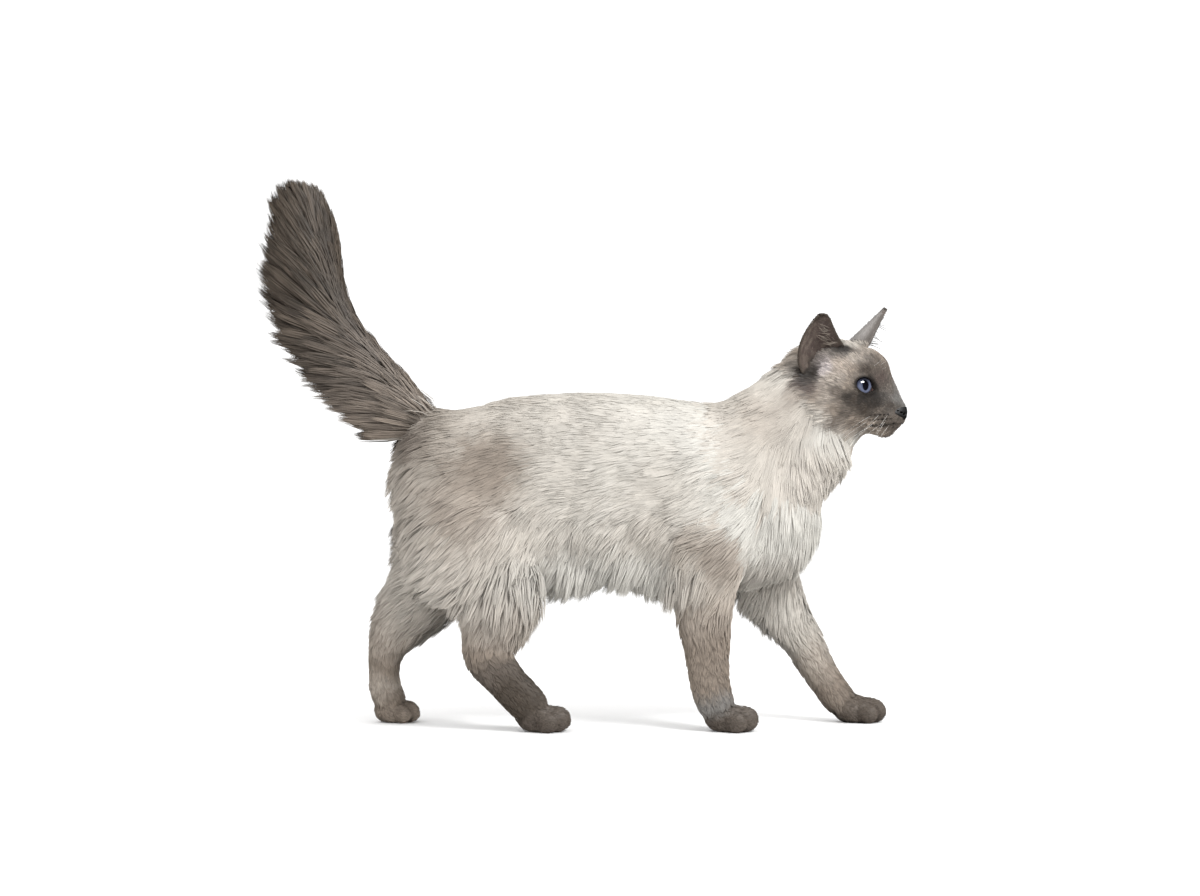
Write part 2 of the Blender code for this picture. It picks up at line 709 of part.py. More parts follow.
def lock_fields(tree):
    """Every lock of the coat, its root on the body and its random sizes seeded."""
    draw = random.Random(7)
    bm = bmesh.new()
    for limb, span, turns, (rows, first, last), lengths, lies, lift in LOCK_FIELDS.values():
        stations = np.array(limb, float)
        for i in range(rows):
            around = round(first + (last - first) * i / (rows - 1))
            for j in range(around):
                down = (i + draw.uniform(0.2, 0.8)) / rows
                t = span[0] + (span[1] - span[0]) * down
                place = (j + 0.5 * (i % 2) + draw.uniform(0.1, 0.4)) / around
                turn = math.radians(turns[0] + (turns[1] - turns[0]) * place)
                x, y, z = along_rows(stations, t)[:3]
                ahead = along_rows(stations, t + 0.01) - along_rows(stations, t - 0.01)
                flat = Vector((ahead[0], 0, ahead[2])).normalized()
                rise = Vector((-flat.z, 0, flat.x))
                ray = rise * math.cos(turn) + Vector((0, 1, 0)) * math.sin(turn)
                far = Vector((x, y, z)) + ray * 150
                root, normal, _, _ = tree.ray_cast(far * MM, -ray)
                if root is None:
                    continue
                root = root / MM
                lie = Vector(lies[0]).lerp(Vector(lies[1]), down)
                way = Vector((lie.x, 0, lie.y)).normalized()
                way = (way - normal * way.dot(normal)).normalized()
                way = (way + normal * lift * draw.uniform(0.7, 1.3)).normalized()
                side = Vector((0, draw.uniform(-0.12, 0.12), 0))
                length = (lengths[0] + (lengths[1] - lengths[0]) * down) * draw.uniform(0.8, 1.15)
                curl = (Vector((lie.x, 0, lie.y)).normalized() - way) * 0.35 + side
                width = LOCK_HALF_WIDTH * draw.uniform(0.8, 1.2)
                add_lock(bm, root - normal * LOCK_SINK, way, normal, length, width, curl)
    return bm


def with_locks(body):
    """The body with every lock of its coat joined to it."""
    bm = bmesh.new()
    bm.from_mesh(body.data)
    tree = BVHTree.FromBMesh(bm)
    bm.free()
    locks = object_from(lock_fields(tree), "locks")
    group = bpy.data.collections.new("locks")
    bpy.context.scene.collection.children.link(group)
    bm = bmesh.new()
    bm.from_mesh(locks.data)
    bpy.data.objects.remove(locks)
    for island in islands_of(bm):
        piece = bmesh.new()
        copies = {vert: piece.verts.new(vert.co) for vert in island}
        for face in {face for vert in island for face in vert.link_faces}:
            piece.faces.new([copies[vert] for vert in face.verts])
        bmesh.ops.recalc_face_normals(piece, faces=piece.faces)
        lock = object_from(piece, "lock")
        bpy.context.scene.collection.objects.unlink(lock)
        group.objects.link(lock)
    bm.free()
    join = body.modifiers.new("join", "BOOLEAN")
    join.operation = "UNION"
    join.solver = "MANIFOLD"
    join.operand_type = "COLLECTION"
    join.collection = group
    applied(body)
    for lock in list(group.objects):
        bpy.data.objects.remove(lock)
    bpy.data.collections.remove(group)
    return body


def main():
    clear_scene()
    cat = whole_cat()
    fine_head = coarser(cat, HEAD_FACES * 9)
    rest = with_locks(coarser(cat, BODY_FACES))
    bpy.data.objects.remove(cat)
    stand_on_floor(rest)
    nodes = []
    for name, cut in CUTS.items():
        nodes.append(part_from(rest, name, cut))
    bpy.data.objects.remove(nodes.pop(0))
    head = part_from(fine_head, "head", CUTS["head"])
    bpy.data.objects.remove(fine_head)
    nodes.append(head)
    rest.name = "belly"
    nodes.append(largest(rest))
    decimate = head.modifiers.new("coarser", "DECIMATE")
    decimate.ratio = HEAD_FACES / len(head.data.polygons)
    applied(head)
    skin, behind = grown(head, GAP), cell(*CUTS["head"], more=0)
    for name, (base, tip, facing) in EARS.items():
        ear = make_ear(name, base, tip, facing)
        combined(ear, skin, "DIFFERENCE")
        combined(ear, behind, "INTERSECT")
        nodes.append(largest(ear))
    for cutter in (skin, behind):
        bpy.data.objects.remove(cutter)
    carve_head(head)
    nodes.append(make_nose(head))
    largest(head)
    for name, side in (("eye_right", -1), ("eye_left", 1)):
        nodes.append(make_eye(name, side))
    for node in nodes:
        finish(node)
        print(node.name, len(node.data.polygons))


main()
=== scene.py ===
"""The looks of a blue point Balinese cat, a still life-size model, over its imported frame.

X runs forward to the nose, Y to the cat's left and Z up, as in the frame. Sizes are in
millimetres, and MM makes them metres. The file follows the animal as it is put together:
the view, the skin, the eyes, the nose, the coat, the whiskers, then the floor and light.
"""

import math

import bmesh
import bpy
import numpy as np
from mathutils import Matrix, Vector
from mathutils.bvhtree import BVHTree
from mathutils.kdtree import KDTree


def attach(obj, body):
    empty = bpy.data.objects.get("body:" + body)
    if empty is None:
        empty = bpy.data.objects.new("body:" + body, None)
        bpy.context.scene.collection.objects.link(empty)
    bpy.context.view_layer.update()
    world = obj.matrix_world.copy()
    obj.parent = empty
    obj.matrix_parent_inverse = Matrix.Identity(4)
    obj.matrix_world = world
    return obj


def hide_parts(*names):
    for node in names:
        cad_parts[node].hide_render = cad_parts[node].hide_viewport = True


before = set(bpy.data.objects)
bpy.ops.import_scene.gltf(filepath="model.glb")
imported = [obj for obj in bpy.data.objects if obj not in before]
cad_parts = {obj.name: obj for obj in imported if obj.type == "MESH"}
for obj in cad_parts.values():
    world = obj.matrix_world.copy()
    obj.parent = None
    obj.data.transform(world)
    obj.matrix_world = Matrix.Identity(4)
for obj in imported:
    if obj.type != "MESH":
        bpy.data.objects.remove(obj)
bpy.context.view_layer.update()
MM = 0.001

# The view is the photograph's: level, square to the cat's right side, from about two metres,
# with the middle of the picture a little ahead of the cat's own middle.
VIEW_WIDTH = 1200  # of the picture, in pixels
PIXEL = 0.85  # one pixel at the cat's middle plane
VIEW_AWAY = 1950
VIEW_AHEAD = 13.6
VIEW_UP = 236.7
camera_data = bpy.data.cameras.new("camera")
camera_data.sensor_fit = "HORIZONTAL"
camera_data.lens = camera_data.sensor_width * VIEW_AWAY / (VIEW_WIDTH * PIXEL)
camera = bpy.data.objects.new("camera", camera_data)
camera.location = Vector((VIEW_AHEAD, -VIEW_AWAY, VIEW_UP)) * MM
camera.rotation_euler = (math.radians(90), 0, 0)
bpy.context.scene.collection.objects.link(camera)
bpy.context.scene.camera = camera

# The skin is one closed hide over the flesh of the body, legs, tail and head, as deep under
# the frame's outline as the coat is thick. Every limb is a row of rings: centre x, y, z, then
# its reach up, down and sideways, which on a leg is forward and back, on the tail back and
# forward.
LIMBS = {
    "torso": (
        (-157, 0, 214, 8, 10, 8), (-150, 0, 214, 42, 40, 24), (-136, 0, 212, 56, 60, 38),
        (-116, 0, 208, 64, 70, 46), (-90, 0, 204, 71, 76, 50), (-58, 0, 202, 79, 80, 53),
        (-25, 0, 202, 82, 80, 56), (12, 0, 206, 79, 78, 59), (46, 0, 206, 77, 77, 60),
        (76, 0, 202, 77, 80, 60), (104, 0, 198, 76, 84, 58), (132, 0, 194, 68, 82, 54),
        (158, 0, 188, 58, 74, 48), (178, 0, 184, 45, 60, 40), (192, 0, 183, 30, 40, 28),
        (200, 0, 183, 12, 16, 12),
    ),
    "neck": (
        (104, 0, 190, 40, 40, 34), (128, 0, 208, 67, 64, 50), (152, 0, 230, 55.5, 62, 47),
        (172, 0, 248, 53.5, 58, 43), (190, 0, 266, 48.5, 54, 40), (204, 0, 281, 46, 48, 37),
        (214, 0, 292, 24, 24, 20),
    ),
    "tail": (
        (-112, 0, 226, 14, 12, 12), (-124, 0, 242, 24, 18, 16), (-142, 0, 262, 26, 15, 16),
        (-162, 0, 286, 28, 12, 15), (-184, 0, 311, 28, 11, 15), (-204, 0, 336, 28, 11, 15),
        (-217, 0, 362, 27, 13, 15), (-225, 0, 388, 24, 15, 15), (-230, 0, 413, 18, 16, 14),
        (-235, 0, 434, 14, 13, 12), (-238, 0, 448, 7, 7, 7),
    ),
    "fore_right": (
        (112, -30, 196, 34, 36, 22), (106, -34, 160, 36, 38, 25), (102, -34, 128, 30, 32, 24),
        (101, -33, 104, 25, 26, 20), (103, -32, 84, 21, 23, 17), (105, -32, 63, 18, 20.5, 15),
        (107, -32, 44, 15.5, 19, 14), (109, -32, 31, 15, 17.5, 13.5),
        (113, -32, 19, 14, 15, 13), (116, -32, 10, 8, 8, 8),
    ),
    "fore_left": (
        (138, 28, 190, 38, 38, 22), (148, 32, 150, 36, 38, 24), (160, 33, 120, 30, 32, 22),
        (173, 33, 96, 23, 25, 19), (184, 33, 78, 20, 20, 17), (197, 33, 57, 16.5, 19, 15),
        (210, 33, 37, 13.5, 17.5, 13.5), (218, 33, 25, 13.5, 16.5, 13.5),
        (224, 33, 16, 12, 14, 12.5), (228, 33, 9, 7, 7, 8),
    ),
    "hind_right": (
        (-100, -24, 224, 34, 36, 18), (-98, -32, 186, 52, 50, 27), (-88, -36, 150, 52, 56, 29),
        (-74, -36, 118, 40, 42, 25), (-76, -34, 94, 33, 31, 20), (-81, -33, 76, 28, 23, 17),
        (-80, -33, 62, 23, 21, 15.5), (-66, -33, 44, 17.5, 18, 14),
        (-51, -33, 28, 16.5, 17, 14), (-42, -33, 19, 14.5, 15, 13.5), (-34, -33, 12, 8, 8, 8),
    ),
    "hind_left": (
        (-106, 22, 220, 30, 34, 18), (-112, 30, 182, 42, 44, 27), (-120, 34, 146, 38, 42, 28),
        (-136, 35, 118, 36, 34, 23), (-156, 34, 94, 31, 26, 19), (-168, 33, 76, 25, 20, 16),
        (-173, 33, 60, 18, 15.5, 14.5), (-173.5, 33, 44, 14, 14, 13.5),
        (-172.5, 33, 29, 14, 14, 13.5), (-168, 33, 17, 14, 12, 13.5), (-164, 33, 9, 8, 8, 8),
    ),
}
# Upright rings of the head in its own frame, nose along +X: x, top, bottom and half width.
HEAD = (
    (-46, 15, -12, 8), (-42, 28, -24, 22), (-32, 36, -34, 31), (-18, 38.5, -40, 36),
    (-4, 40.5, -42, 38), (10, 38.5, -43, 37), (21, 33, -43, 33.5), (29, 31.5, -43, 29.5),
    (34, 28, -44, 25), (38.5, 22, -45, 20), (43, 13.5, -44, 16), (47.5, 2.5, -41, 13.5),
    (51.5, -7.5, -37, 11.5), (54.5, -13, -34.5, 9.5), (57, -17, -29.5, 7), (58.4, -20, -25, 3),
)
HEAD_CENTRE = Vector((217, 0, 290))
HEAD_YAW = math.radians(-22)  # the face is turned a little to the cat's right
# How far the coat stands out from the skin at each limb's first and last ring: up, down, side.
COAT_DEPTH = {
    "torso": ((2, 6, 5), (2, 6, 7)),
    "neck": ((2, 7, 7), (2, 5, 5)),
    "tail": ((5, 1, 1), (0, -2, -1)),
    "fore_right": ((4, 4, 5), (-0.4, -1.5, 0)),
    "fore_left": ((5, 6, 5), (-0.4, -0.8, 0)),
    "hind_right": ((5, 7, 5), (-0.4, -1.5, 0)),
    "hind_left": ((5, 7, 5), (-1.2, -0.4, 0)),
    "head": ((3, 4, 3), (0.3, 0.5, 0.5)),
}
# Each paw: its middle on the floor, its turn about Z in degrees, its size and its side.
PAWS = {
    "fore_right": ((122, -32), -4, 0.99, -1),
    "fore_left": ((236, 33), 4, 0.99, 1),
    "hind_right": ((-35, -33), -4, 0.99, -1),
    "hind_left": ((-163, 33), 4, 0.86, 1),
}
# Toes of a right paw, from the outer one inward: forward, left, and length, width, height reach.
TOES = (
    (5, -11.5, 9.5, 6.4, 9), (12, -4.4, 11, 6.6, 10.5), (13, 4.4, 11, 6.6, 10.5),
    (6.5, 11.2, 9.5, 6.4, 9),
)
# Swells and hollows of both sides of the face: centre, radius and how far it is pushed.
FACE_FORMS = {
    "brow": ((32, 13, 16), 8.5, (2.6, 1.0, 2.0)),
    "eye_hollow": ((39, 12, -6), 7.5, (-2.5, -3.5, 0.0)),
    "whisker_pad": ((47.5, 9.5, -27.5), 6.5, (1.0, 5.0, -0.5)),
    "lip_hollow": ((33, 22, -30), 7, (-1.5, -2.5, 0.0)),
    "cheek": ((0, 35, -18), 17, (0.0, 4.0, -3.0)),
    "temple": ((8, 34, 14), 12, (0.0, -2.0, 0.0)),
    "ear_hollow": ((-12, 33, 18), 9, (0.0, -4.0, -3.0)),
    "stop": ((43, 0, 9), 5, (-1.0, 0.0, -0.8)),
    "bridge": ((48, 0, -6), 6, (0.4, 0.0, 1.2)),
    "philtrum": ((58, 0, -30), 3.2, (-1.8, 0.0, 0.0)),
    "under_lip": ((50, 8, -37.5), 5, (-1.5, -1.5, 0.5)),
    "chin": ((42, 0, -43), 7, (0.6, 0.0, -1.2)),
}
MASS_FUSE = (3.2, 7)  # voxel and rounds of smoothing
FORM_FUSE = (2.1, 4)
PAW_FUSE = (1.1, 3)
LEAST_CORE = 0.55  # of its reach, which a limb keeps under however deep a coat
PAW_RAISED = 0.6
PAW_CORE = (((-5, 0, 11), (16, 13, 12.5)), ((-2, 0, 5), (15, 12.5, 7)))  # the instep and the pad
TOE_SUNK = 1.2
TOE_TILT = 10
TOE_SPREAD = 1.1  # degrees of turn for each millimetre to the side
KNUCKLE = (7, 4.6, 6)
KNUCKLE_TILT = 24


def object_from(bm, name):
    mesh = bpy.data.meshes.new(name)
    bm.to_mesh(mesh)
    bm.free()
    made = bpy.data.objects.new(name, mesh)
    bpy.context.scene.collection.objects.link(made)
    return made


def along_rows(rows, t):
    """A smooth curve through every row of numbers, from t = 0 to t = 1."""
    last = len(rows) - 1
    place = min(max(t, 0.0), 1.0) * last
    i = min(int(place), last - 1)
    f = place - i
    before, a, b, after = (rows[min(max(i + k, 0), last)] for k in (-1, 0, 1, 2))
    return 0.5 * (
        2 * a
        + (b - before) * f
        + (2 * before - 5 * a + 4 * b - after) * f**2
        + (3 * a - before - 3 * b + after) * f**3
    )


def rings_under_coat(name):
    """A limb's rings with the coat's depth taken off."""
    rings = LIMBS.get(name)
    if name == "head":
        halves = [(x, (top + low) / 2, (top - low) / 2, side) for x, top, low, side in HEAD]
        rings = [(x, 0, middle, half, half, side) for x, middle, half, side in halves]
    rows = np.array(rings, float)
    first, last = np.array(COAT_DEPTH[name], float)
    share = np.linspace(0, 1, len(rows))[:, None]
    reach = rows[:, 3:]
    rows[:, 3:] = np.maximum(reach - first - (last - first) * share, reach * LEAST_CORE)
    return rows


def add_limb(bm, rows, around=28, steps=4, shape=2.2, upright=False):
    """A closed body through the rings, each square to the line of their centres or upright."""
    rings = (len(rows) - 1) * steps + 1
    made = bmesh.ops.create_uvsphere(bm, u_segments=around, v_segments=rings + 1, radius=1)
    for vert in made["verts"]:
        turn = math.atan2(vert.co.y, vert.co.x)
        level = round(math.acos(max(-1.0, min(1.0, -vert.co.z))) / math.pi * (rings + 1))
        t = (level - 1) / (rings - 1)
        x, y, z, up, down, side = along_rows(rows, t)
        ahead = along_rows(rows, t + 0.01) - along_rows(rows, t - 0.01)
        flat = Vector((ahead[0], 0, ahead[2])).normalized()
        rise = Vector((0, 0, 1)) if upright else Vector((-flat.z, 0, flat.x))
        if level in (0, rings + 1):
            vert.co = Vector((x, y, z)) * MM
            continue
        c, s = math.cos(turn), math.sin(turn)
        c, s = (math.copysign(abs(v) ** (2 / shape), v) for v in (c, s))
        reach = rise * (up if c > 0 else down) * c + Vector((0, side, 0)) * s
        vert.co = (Vector((x, y, z)) + reach) * MM
    return made["verts"]


def add_oval(bm, centre, reach, tilt=0.0, turn=0.0, around=24):
    """An ellipsoid, tilted nose down by tilt and then turned about Z, both in degrees."""
    place = (
        Matrix.Translation(Vector(centre) * MM)
        @ Matrix.Rotation(math.radians(turn), 4, "Z")
        @ Matrix.Rotation(math.radians(tilt), 4, "Y")
        @ Matrix.Diagonal((*(r * MM for r in reach), 1))
    )
    made = bmesh.ops.create_uvsphere(
        bm, u_segments=around, v_segments=around // 2, radius=1, matrix=place
    )
    return made["verts"]


def add_head(bm):
    verts = add_limb(bm, rings_under_coat("head"), around=40, shape=2.15, upright=True)
    bmesh.ops.transform(bm, matrix=head_place, verts=verts)


def add_paw(bm, middle, turn, size, side):
    """A paw of four toes, each with its knuckle, an instep and a pad."""
    verts = [vert for oval in PAW_CORE for vert in add_oval(bm, *oval)]
    for forward, left, *reach in TOES:
        spread, top = -side * left, reach[2]
        toe, knuckle = (forward, spread, top - TOE_SUNK), (forward - 5, spread * 0.86, top + 4)
        verts += add_oval(bm, toe, reach, TOE_TILT, spread * TOE_SPREAD)
        verts += add_oval(bm, knuckle, KNUCKLE, KNUCKLE_TILT, spread)
    place = (
        Matrix.Translation(Vector((*middle, PAW_RAISED)) * MM)
        @ Matrix.Rotation(math.radians(turn), 4, "Z")
        @ Matrix.Diagonal((size, size, size, 1))
    )
    bmesh.ops.transform(bm, matrix=place, verts=verts)


def finished_mesh(made):
    graph = bpy.context.evaluated_depsgraph_get()
    return bpy.data.meshes.new_from_object(made.evaluated_get(graph))


def applied(made):
    """The object with its modifiers made part of its mesh."""
    mesh = finished_mesh(made)
    made.modifiers.clear()
    made.data = mesh
    return made


def fused(made, voxel, rounds):
    """The overlapping shapes of one mesh made one surface, and their joins smoothed."""
    remesh = made.modifiers.new("fuse", "REMESH")
    remesh.mode = "VOXEL"
    remesh.voxel_size = voxel * MM
    smooth = made.modifiers.new("smooth", "SMOOTH")
    smooth.factor = 0.5
    smooth.iterations = rounds
    return applied(made)


def array_of(things, key, width):
    """One array of a property of many mesh elements, such as every vertex's place."""
    values = np.empty(len(things) * width, np.float64 if key != "vertices" else np.int32)
    things.foreach_get(key, values)
    return values.reshape(-1, width)


head_place = Matrix.Translation(HEAD_CENTRE * MM) @ Matrix.Rotation(HEAD_YAW, 4, "Z")
head_turn = np.array(Matrix.Rotation(HEAD_YAW, 3, "Z"))


def into_head(places):
    """Places in the head's own frame, in millimetres."""
    return (places - np.array(HEAD_CENTRE)) @ head_turn


masses = bmesh.new()
for name in LIMBS:
    around = 20 if name in PAWS else 28
    add_limb(masses, rings_under_coat(name), around=around)
add_head(masses)
masses = fused(object_from(masses, "masses"), *MASS_FUSE)
forms = bmesh.new()
forms.from_mesh(masses.data)
bpy.data.objects.remove(masses)
add_head(forms)
skin = fused(object_from(forms, "skin"), *FORM_FUSE)

# The face is finer than the rest of the hide, so its mesh is split once more. Its swells and
# hollows are pushed out of the plain head, and the lids are drawn over the eyeballs.
FACE_BEHIND = 2  # the finer mesh starts here in the head's frame, and reaches this far out
FACE_REACH = 50
EYE_RADIUS = 10.4
EYE_CENTRE = Vector((23.2, 19.3, -1.6))  # the left one
EYE_AXIS = Vector((0.79, 0.61, 0.05)).normalized()
LID = 1.1
LID_REACH = 5.0  # how far above the eyeball the skin is still drawn to it
LID_FACING = (0.1, 0.6)  # how squarely the skin has to face the eye for no and for all of that
GROUND_GAP = 0.25
face = bmesh.new()
face.from_mesh(skin.data)


def face_places():
    return into_head(np.array([vert.co for vert in face.verts]) / MM)


x, y, z = face_places().T
in_face = (x > FACE_BEHIND) & (np.abs(y) < FACE_REACH) & (z > -FACE_REACH)
edges = [e for e in face.edges if in_face[e.verts[0].index] and in_face[e.verts[1].index]]
bmesh.ops.subdivide_edges(face, edges=edges, cuts=1, use_grid_fill=True)
soft = [vert for vert, place in zip(face.verts, face_places()) if place[0] > 0]
all_axes = {"use_axis_x": True, "use_axis_y": True, "use_axis_z": True}
bmesh.ops.smooth_vert(face, verts=soft, factor=0.5, **all_axes)
face.to_mesh(skin.data)
face.free()


def smooth_step(value, low, high):
    """A share from 0 at low to 1 at high, without a kink."""
    share = np.clip((value - low) / (high - low), 0, 1)
    return share * share * (3 - 2 * share)


points = into_head(array_of(skin.data.vertices, "co", 3) / MM)
for centre, radius, push in FACE_FORMS.values():
    for side in (-1, 1) if centre[1] else (1,):
        mirror = np.array((1, side, 1))
        away = ((points - np.array(centre) * mirror) ** 2).sum(axis=1)
        points += np.exp(-away / radius**2)[:, None] * np.array(push) * mirror
for side in (-1, 1):
    mirror = np.array((1, side, 1))
    arm = points - np.array(EYE_CENTRE) * mirror
    length = np.linalg.norm(arm, axis=1)
    facing = (arm @ (np.array(EYE_AXIS) * mirror)) / np.maximum(length, 1e-6)
    weight = smooth_step(facing, *LID_FACING)
    weight *= np.exp(-((np.maximum(length - EYE_RADIUS - LID, 0) / LID_REACH) ** 2))
    goal = length + (EYE_RADIUS + LID - length) * weight
    points = np.array(EYE_CENTRE) * mirror + arm * (goal / np.maximum(length, 1e-6))[:, None]
points = points @ head_turn.T + np.array(HEAD_CENTRE)
points[:, 2] = np.maximum(points[:, 2], GROUND_GAP)
skin.data.vertices.foreach_set("co", (points * MM).ravel())
skin.data.update()

# The ears are thin cupped shells, rooted in the skull. The right one is turned out to the
# side and the left one forward.
EAR_ROOT = 12
EAR_TAPER = 1.6  # how fast it narrows toward that root
EAR_CUP = 10
EAR_OPENING = 0.7  # how much of the cup is lost toward the tip
EAR_LEAN = 3
EAR_THICKNESS = 1.3
EAR_TIP = 0.9995  # where it ends, since it has no width at 1
EAR_FOLDS = ((-0.66, 0.12, 2.4), (-0.2, 0.14, 1.6))  # place across the ear, width and depth
EAR_FOLD_HEIGHT = 0.26
# An ear: the middle of its base in the head's frame, the way to its tip and the way along its
# base, then its height, its half width at the base, how full and how round it stays, how far
# its middle bows out to the rear and how far its rear edge stands off the skull.
EARS = {
    "ear_right": (
        (-6.5, -26.5, 21), (0.037, -0.428, 0.902), (0.80, 0.30, 0.52), 41, 21, 1.9, 0.5, 5, 5,
    ),
    "ear_left": (
        (8, 20, 29), (0.54, 0.14, 0.83), (-0.75, 0.63, -0.20), 45, 22, 1.0, 1.05, 0, 0,
    ),
}


def ear_axes(name):
    """The middle of an ear's base, then the ways across it, up to its tip and out of its cup."""
    base, tip, side = (Vector(way) for way in EARS[name][:3])
    up, across = tip.normalized(), side.normalized()
    return base, across, up, across.cross(up).normalized()


def ear_half(name, v):
    """Half an ear's width, which also narrows toward the root inside the skull."""
    width, full, round_tip = EARS[name][4:7]
    taper = 1 + EAR_TAPER * np.minimum(v, 0)
    return width * (1 - np.clip(v, 0, 1) ** full) ** round_tip * taper


def ear_bow(name, v):
    v = np.clip(v, 0, 1)
    return EARS[name][7] * 4 * v * (1 - v)


def ear_depth(name, u, v):
    """How far the shell stands out of its chord: the cup, and folds at the foot of its rear."""
    fold = sum(np.exp(-(((u - at) / wide) ** 2)) * deep for at, wide, deep in EAR_FOLDS)
    fold *= np.exp(-((np.maximum(v, 0) / EAR_FOLD_HEIGHT) ** 2))
    rear = EARS[name][8] * np.clip(-u, 0, 1) * np.clip(1 - 1.5 * v, 0, 1)
    cup = -EAR_CUP * (1 - u * u) * (1 - EAR_OPENING * v) + EAR_LEAN * v
    return cup + rear + (fold if name == "ear_right" else 0)


def ear_point(name, u, v, proud=0.0):
    """A place on an ear, u from -1 to 1 across and v from its base at 0 to its tip at 1."""
    base, across, up, out = ear_axes(name)
    side = across * float(u * ear_half(name, v) - ear_bow(name, v))
    depth = float(ear_depth(name, u, v)) + proud
    return head_place @ ((base + side + up * EARS[name][3] * v + out * depth) * MM)


def make_ear(name):
    """An ear from a grid, whose rows lie closer toward the round tip."""
    bm = bmesh.new()
    made = bmesh.ops.create_grid(bm, x_segments=32, y_segments=30, size=1)
    for vert in made["verts"]:
        v = 1 - ((1 - vert.co.y) / 2) ** 1.5
        v = v * (1 + EAR_ROOT / EARS[name][3]) - EAR_ROOT / EARS[name][3]
        vert.co = ear_point(name, vert.co.x, min(v, EAR_TIP))
    bmesh.ops.remove_doubles(bm, verts=bm.verts, dist=2e-5)
    bmesh.ops.recalc_face_normals(bm, faces=bm.faces)
    ear = object_from(bm, name)
    wall = ear.modifiers.new("wall", "SOLIDIFY")
    wall.thickness = EAR_THICKNESS * MM
    wall.offset = 0
    return applied(ear)


def combined(made, other, operation):
    """Joins one object with another or cuts it by it. The other is then removed."""
    cut = made.modifiers.new("cut", "BOOLEAN")
    cut.operation = operation
    cut.solver = "MANIFOLD"
    cut.object = other
    applied(made)
    bpy.data.objects.remove(other)


for name in EARS:
    combined(skin, make_ear(name), "UNION")
for name, paw in PAWS.items():
    toes = bmesh.new()
    add_paw(toes, *paw)
    combined(skin, fused(object_from(toes, name), *PAW_FUSE), "UNION")
uncut = skin.data.copy()  # the coat grows on the hide as it is before its openings are cut

# The openings of the face: an almond slit in each pair of lids, the sockets behind them, the
# nostrils, and the line of the mouth between the lips.
EYE_SLIT = (11.8, 9.0, 7.2, 6.6)  # from its middle inward, outward, up and down
CORNER_POINT = 1.7  # above 1 draws the inner corner to a point
EYE_SLANT = math.radians(16)
MOUTH = (
    (24, 20, -33), (32, 19, -37), (40, 17, -38), (47, 13, -36), (53, 6, -33.5), (55, 0, -32),
)
MOUTH_RADIUS = 0.7
MOUTH_STEPS = 20  # on each side
SLIT_FROM = 4  # where its cutter starts, out from the middle of the eye, and its depth
SLIT_DEPTH = 16
SKIN_KEPT = 0.85  # of the finished skin's triangles, the flattest being left out
# Ovals that make up the left nostril: middle, reach, lean and turn.
NOSTRILS = (
    ((57.4, 4.4, -24.8), (3.2, 2.2, 1.7), 10, 35),
    ((55.4, 7.2, -23.8), (3.0, 1.7, 1.0), -16, 58),
    ((53.0, 9.4, -22.6), (2.8, 1.4, 0.7), -20, 52),
)


def mirrored(place, side):
    """A place or way of the left side, or its like on the right for side -1."""
    return Vector((place[0], side * place[1], place[2]))


def eye_axes(side):
    """The way out of an eye, then along its slit toward the nose, and up across it."""
    axis = mirrored(EYE_AXIS, side)
    along = Vector((0, 0, 1)).cross(axis).normalized() * -side
    rise = (Vector((0, 0, 1)) - axis * axis.z).normalized()
    c, s = math.cos(EYE_SLANT), math.sin(EYE_SLANT)
    return axis, along * c - rise * s, rise * c + along * s


def slit_outline(steps=20, more=0.0):
    """Points of the almond between the lids, as steps along and up from the eye's axis."""
    inward, outward, upper, lower = EYE_SLIT
    outline = []
    for i in range(2 * steps):
        turn = math.pi * i / steps
        height = upper if i < steps else lower
        length, point = (inward, CORNER_POINT) if math.cos(turn) > 0 else (outward, 1)
        rise = math.copysign(abs(math.sin(turn)) ** point, math.sin(turn))
        outline.append(((length + more) * math.cos(turn), (height + more) * rise))
    return outline


def at_eye(side, out, along_slit, up_slit):
    """A place of the head's frame by its steps from the middle of an eye."""
    steps = zip((out, along_slit, up_slit), eye_axes(side))
    return sum((way * step for step, way in steps), mirrored(EYE_CENTRE, side))


def head_object(bm, name):
    """An object from a mesh that was made in the head's frame."""
    bmesh.ops.transform(bm, matrix=head_place, verts=bm.verts)
    return object_from(bm, name)


for side in (-1, 1):
    socket = bmesh.new()
    add_oval(socket, mirrored(EYE_CENTRE, side), (EYE_RADIUS + 0.1,) * 3, around=48)
    combined(skin, head_object(socket, "socket"), "DIFFERENCE")
    slit = bmesh.new()
    ring = [slit.verts.new(at_eye(side, SLIT_FROM, a, b) * MM) for a, b in slit_outline()]
    grown = bmesh.ops.extrude_face_region(slit, geom=[slit.faces.new(ring)])
    moved = [g for g in grown["geom"] if isinstance(g, bmesh.types.BMVert)]
    bmesh.ops.translate(slit, vec=mirrored(EYE_AXIS, side) * SLIT_DEPTH * MM, verts=moved)
    bmesh.ops.recalc_face_normals(slit, faces=slit.faces)
    combined(skin, head_object(slit, "slit"), "DIFFERENCE")


def tube(points, radius, name):
    """A closed round tube through points in metres."""
    curve = bpy.data.curves.new(name, "CURVE")
    curve.dimensions = "3D"
    curve.bevel_depth = radius * MM
    curve.bevel_resolution = 2
    curve.use_fill_caps = True
    spline = curve.splines.new("POLY")
    spline.points.add(len(points) - 1)
    for place, point in zip(points, spline.points):
        point.co = (*place, 1)
    made = bpy.data.objects.new(name, curve)
    bpy.context.scene.collection.objects.link(made)
    mesh = finished_mesh(made)
    bpy.data.objects.remove(made)
    bm = bmesh.new()
    bm.from_mesh(mesh)
    bmesh.ops.remove_doubles(bm, verts=bm.verts, dist=1e-6)
    bmesh.ops.recalc_face_normals(bm, faces=bm.faces)
    return object_from(bm, name)


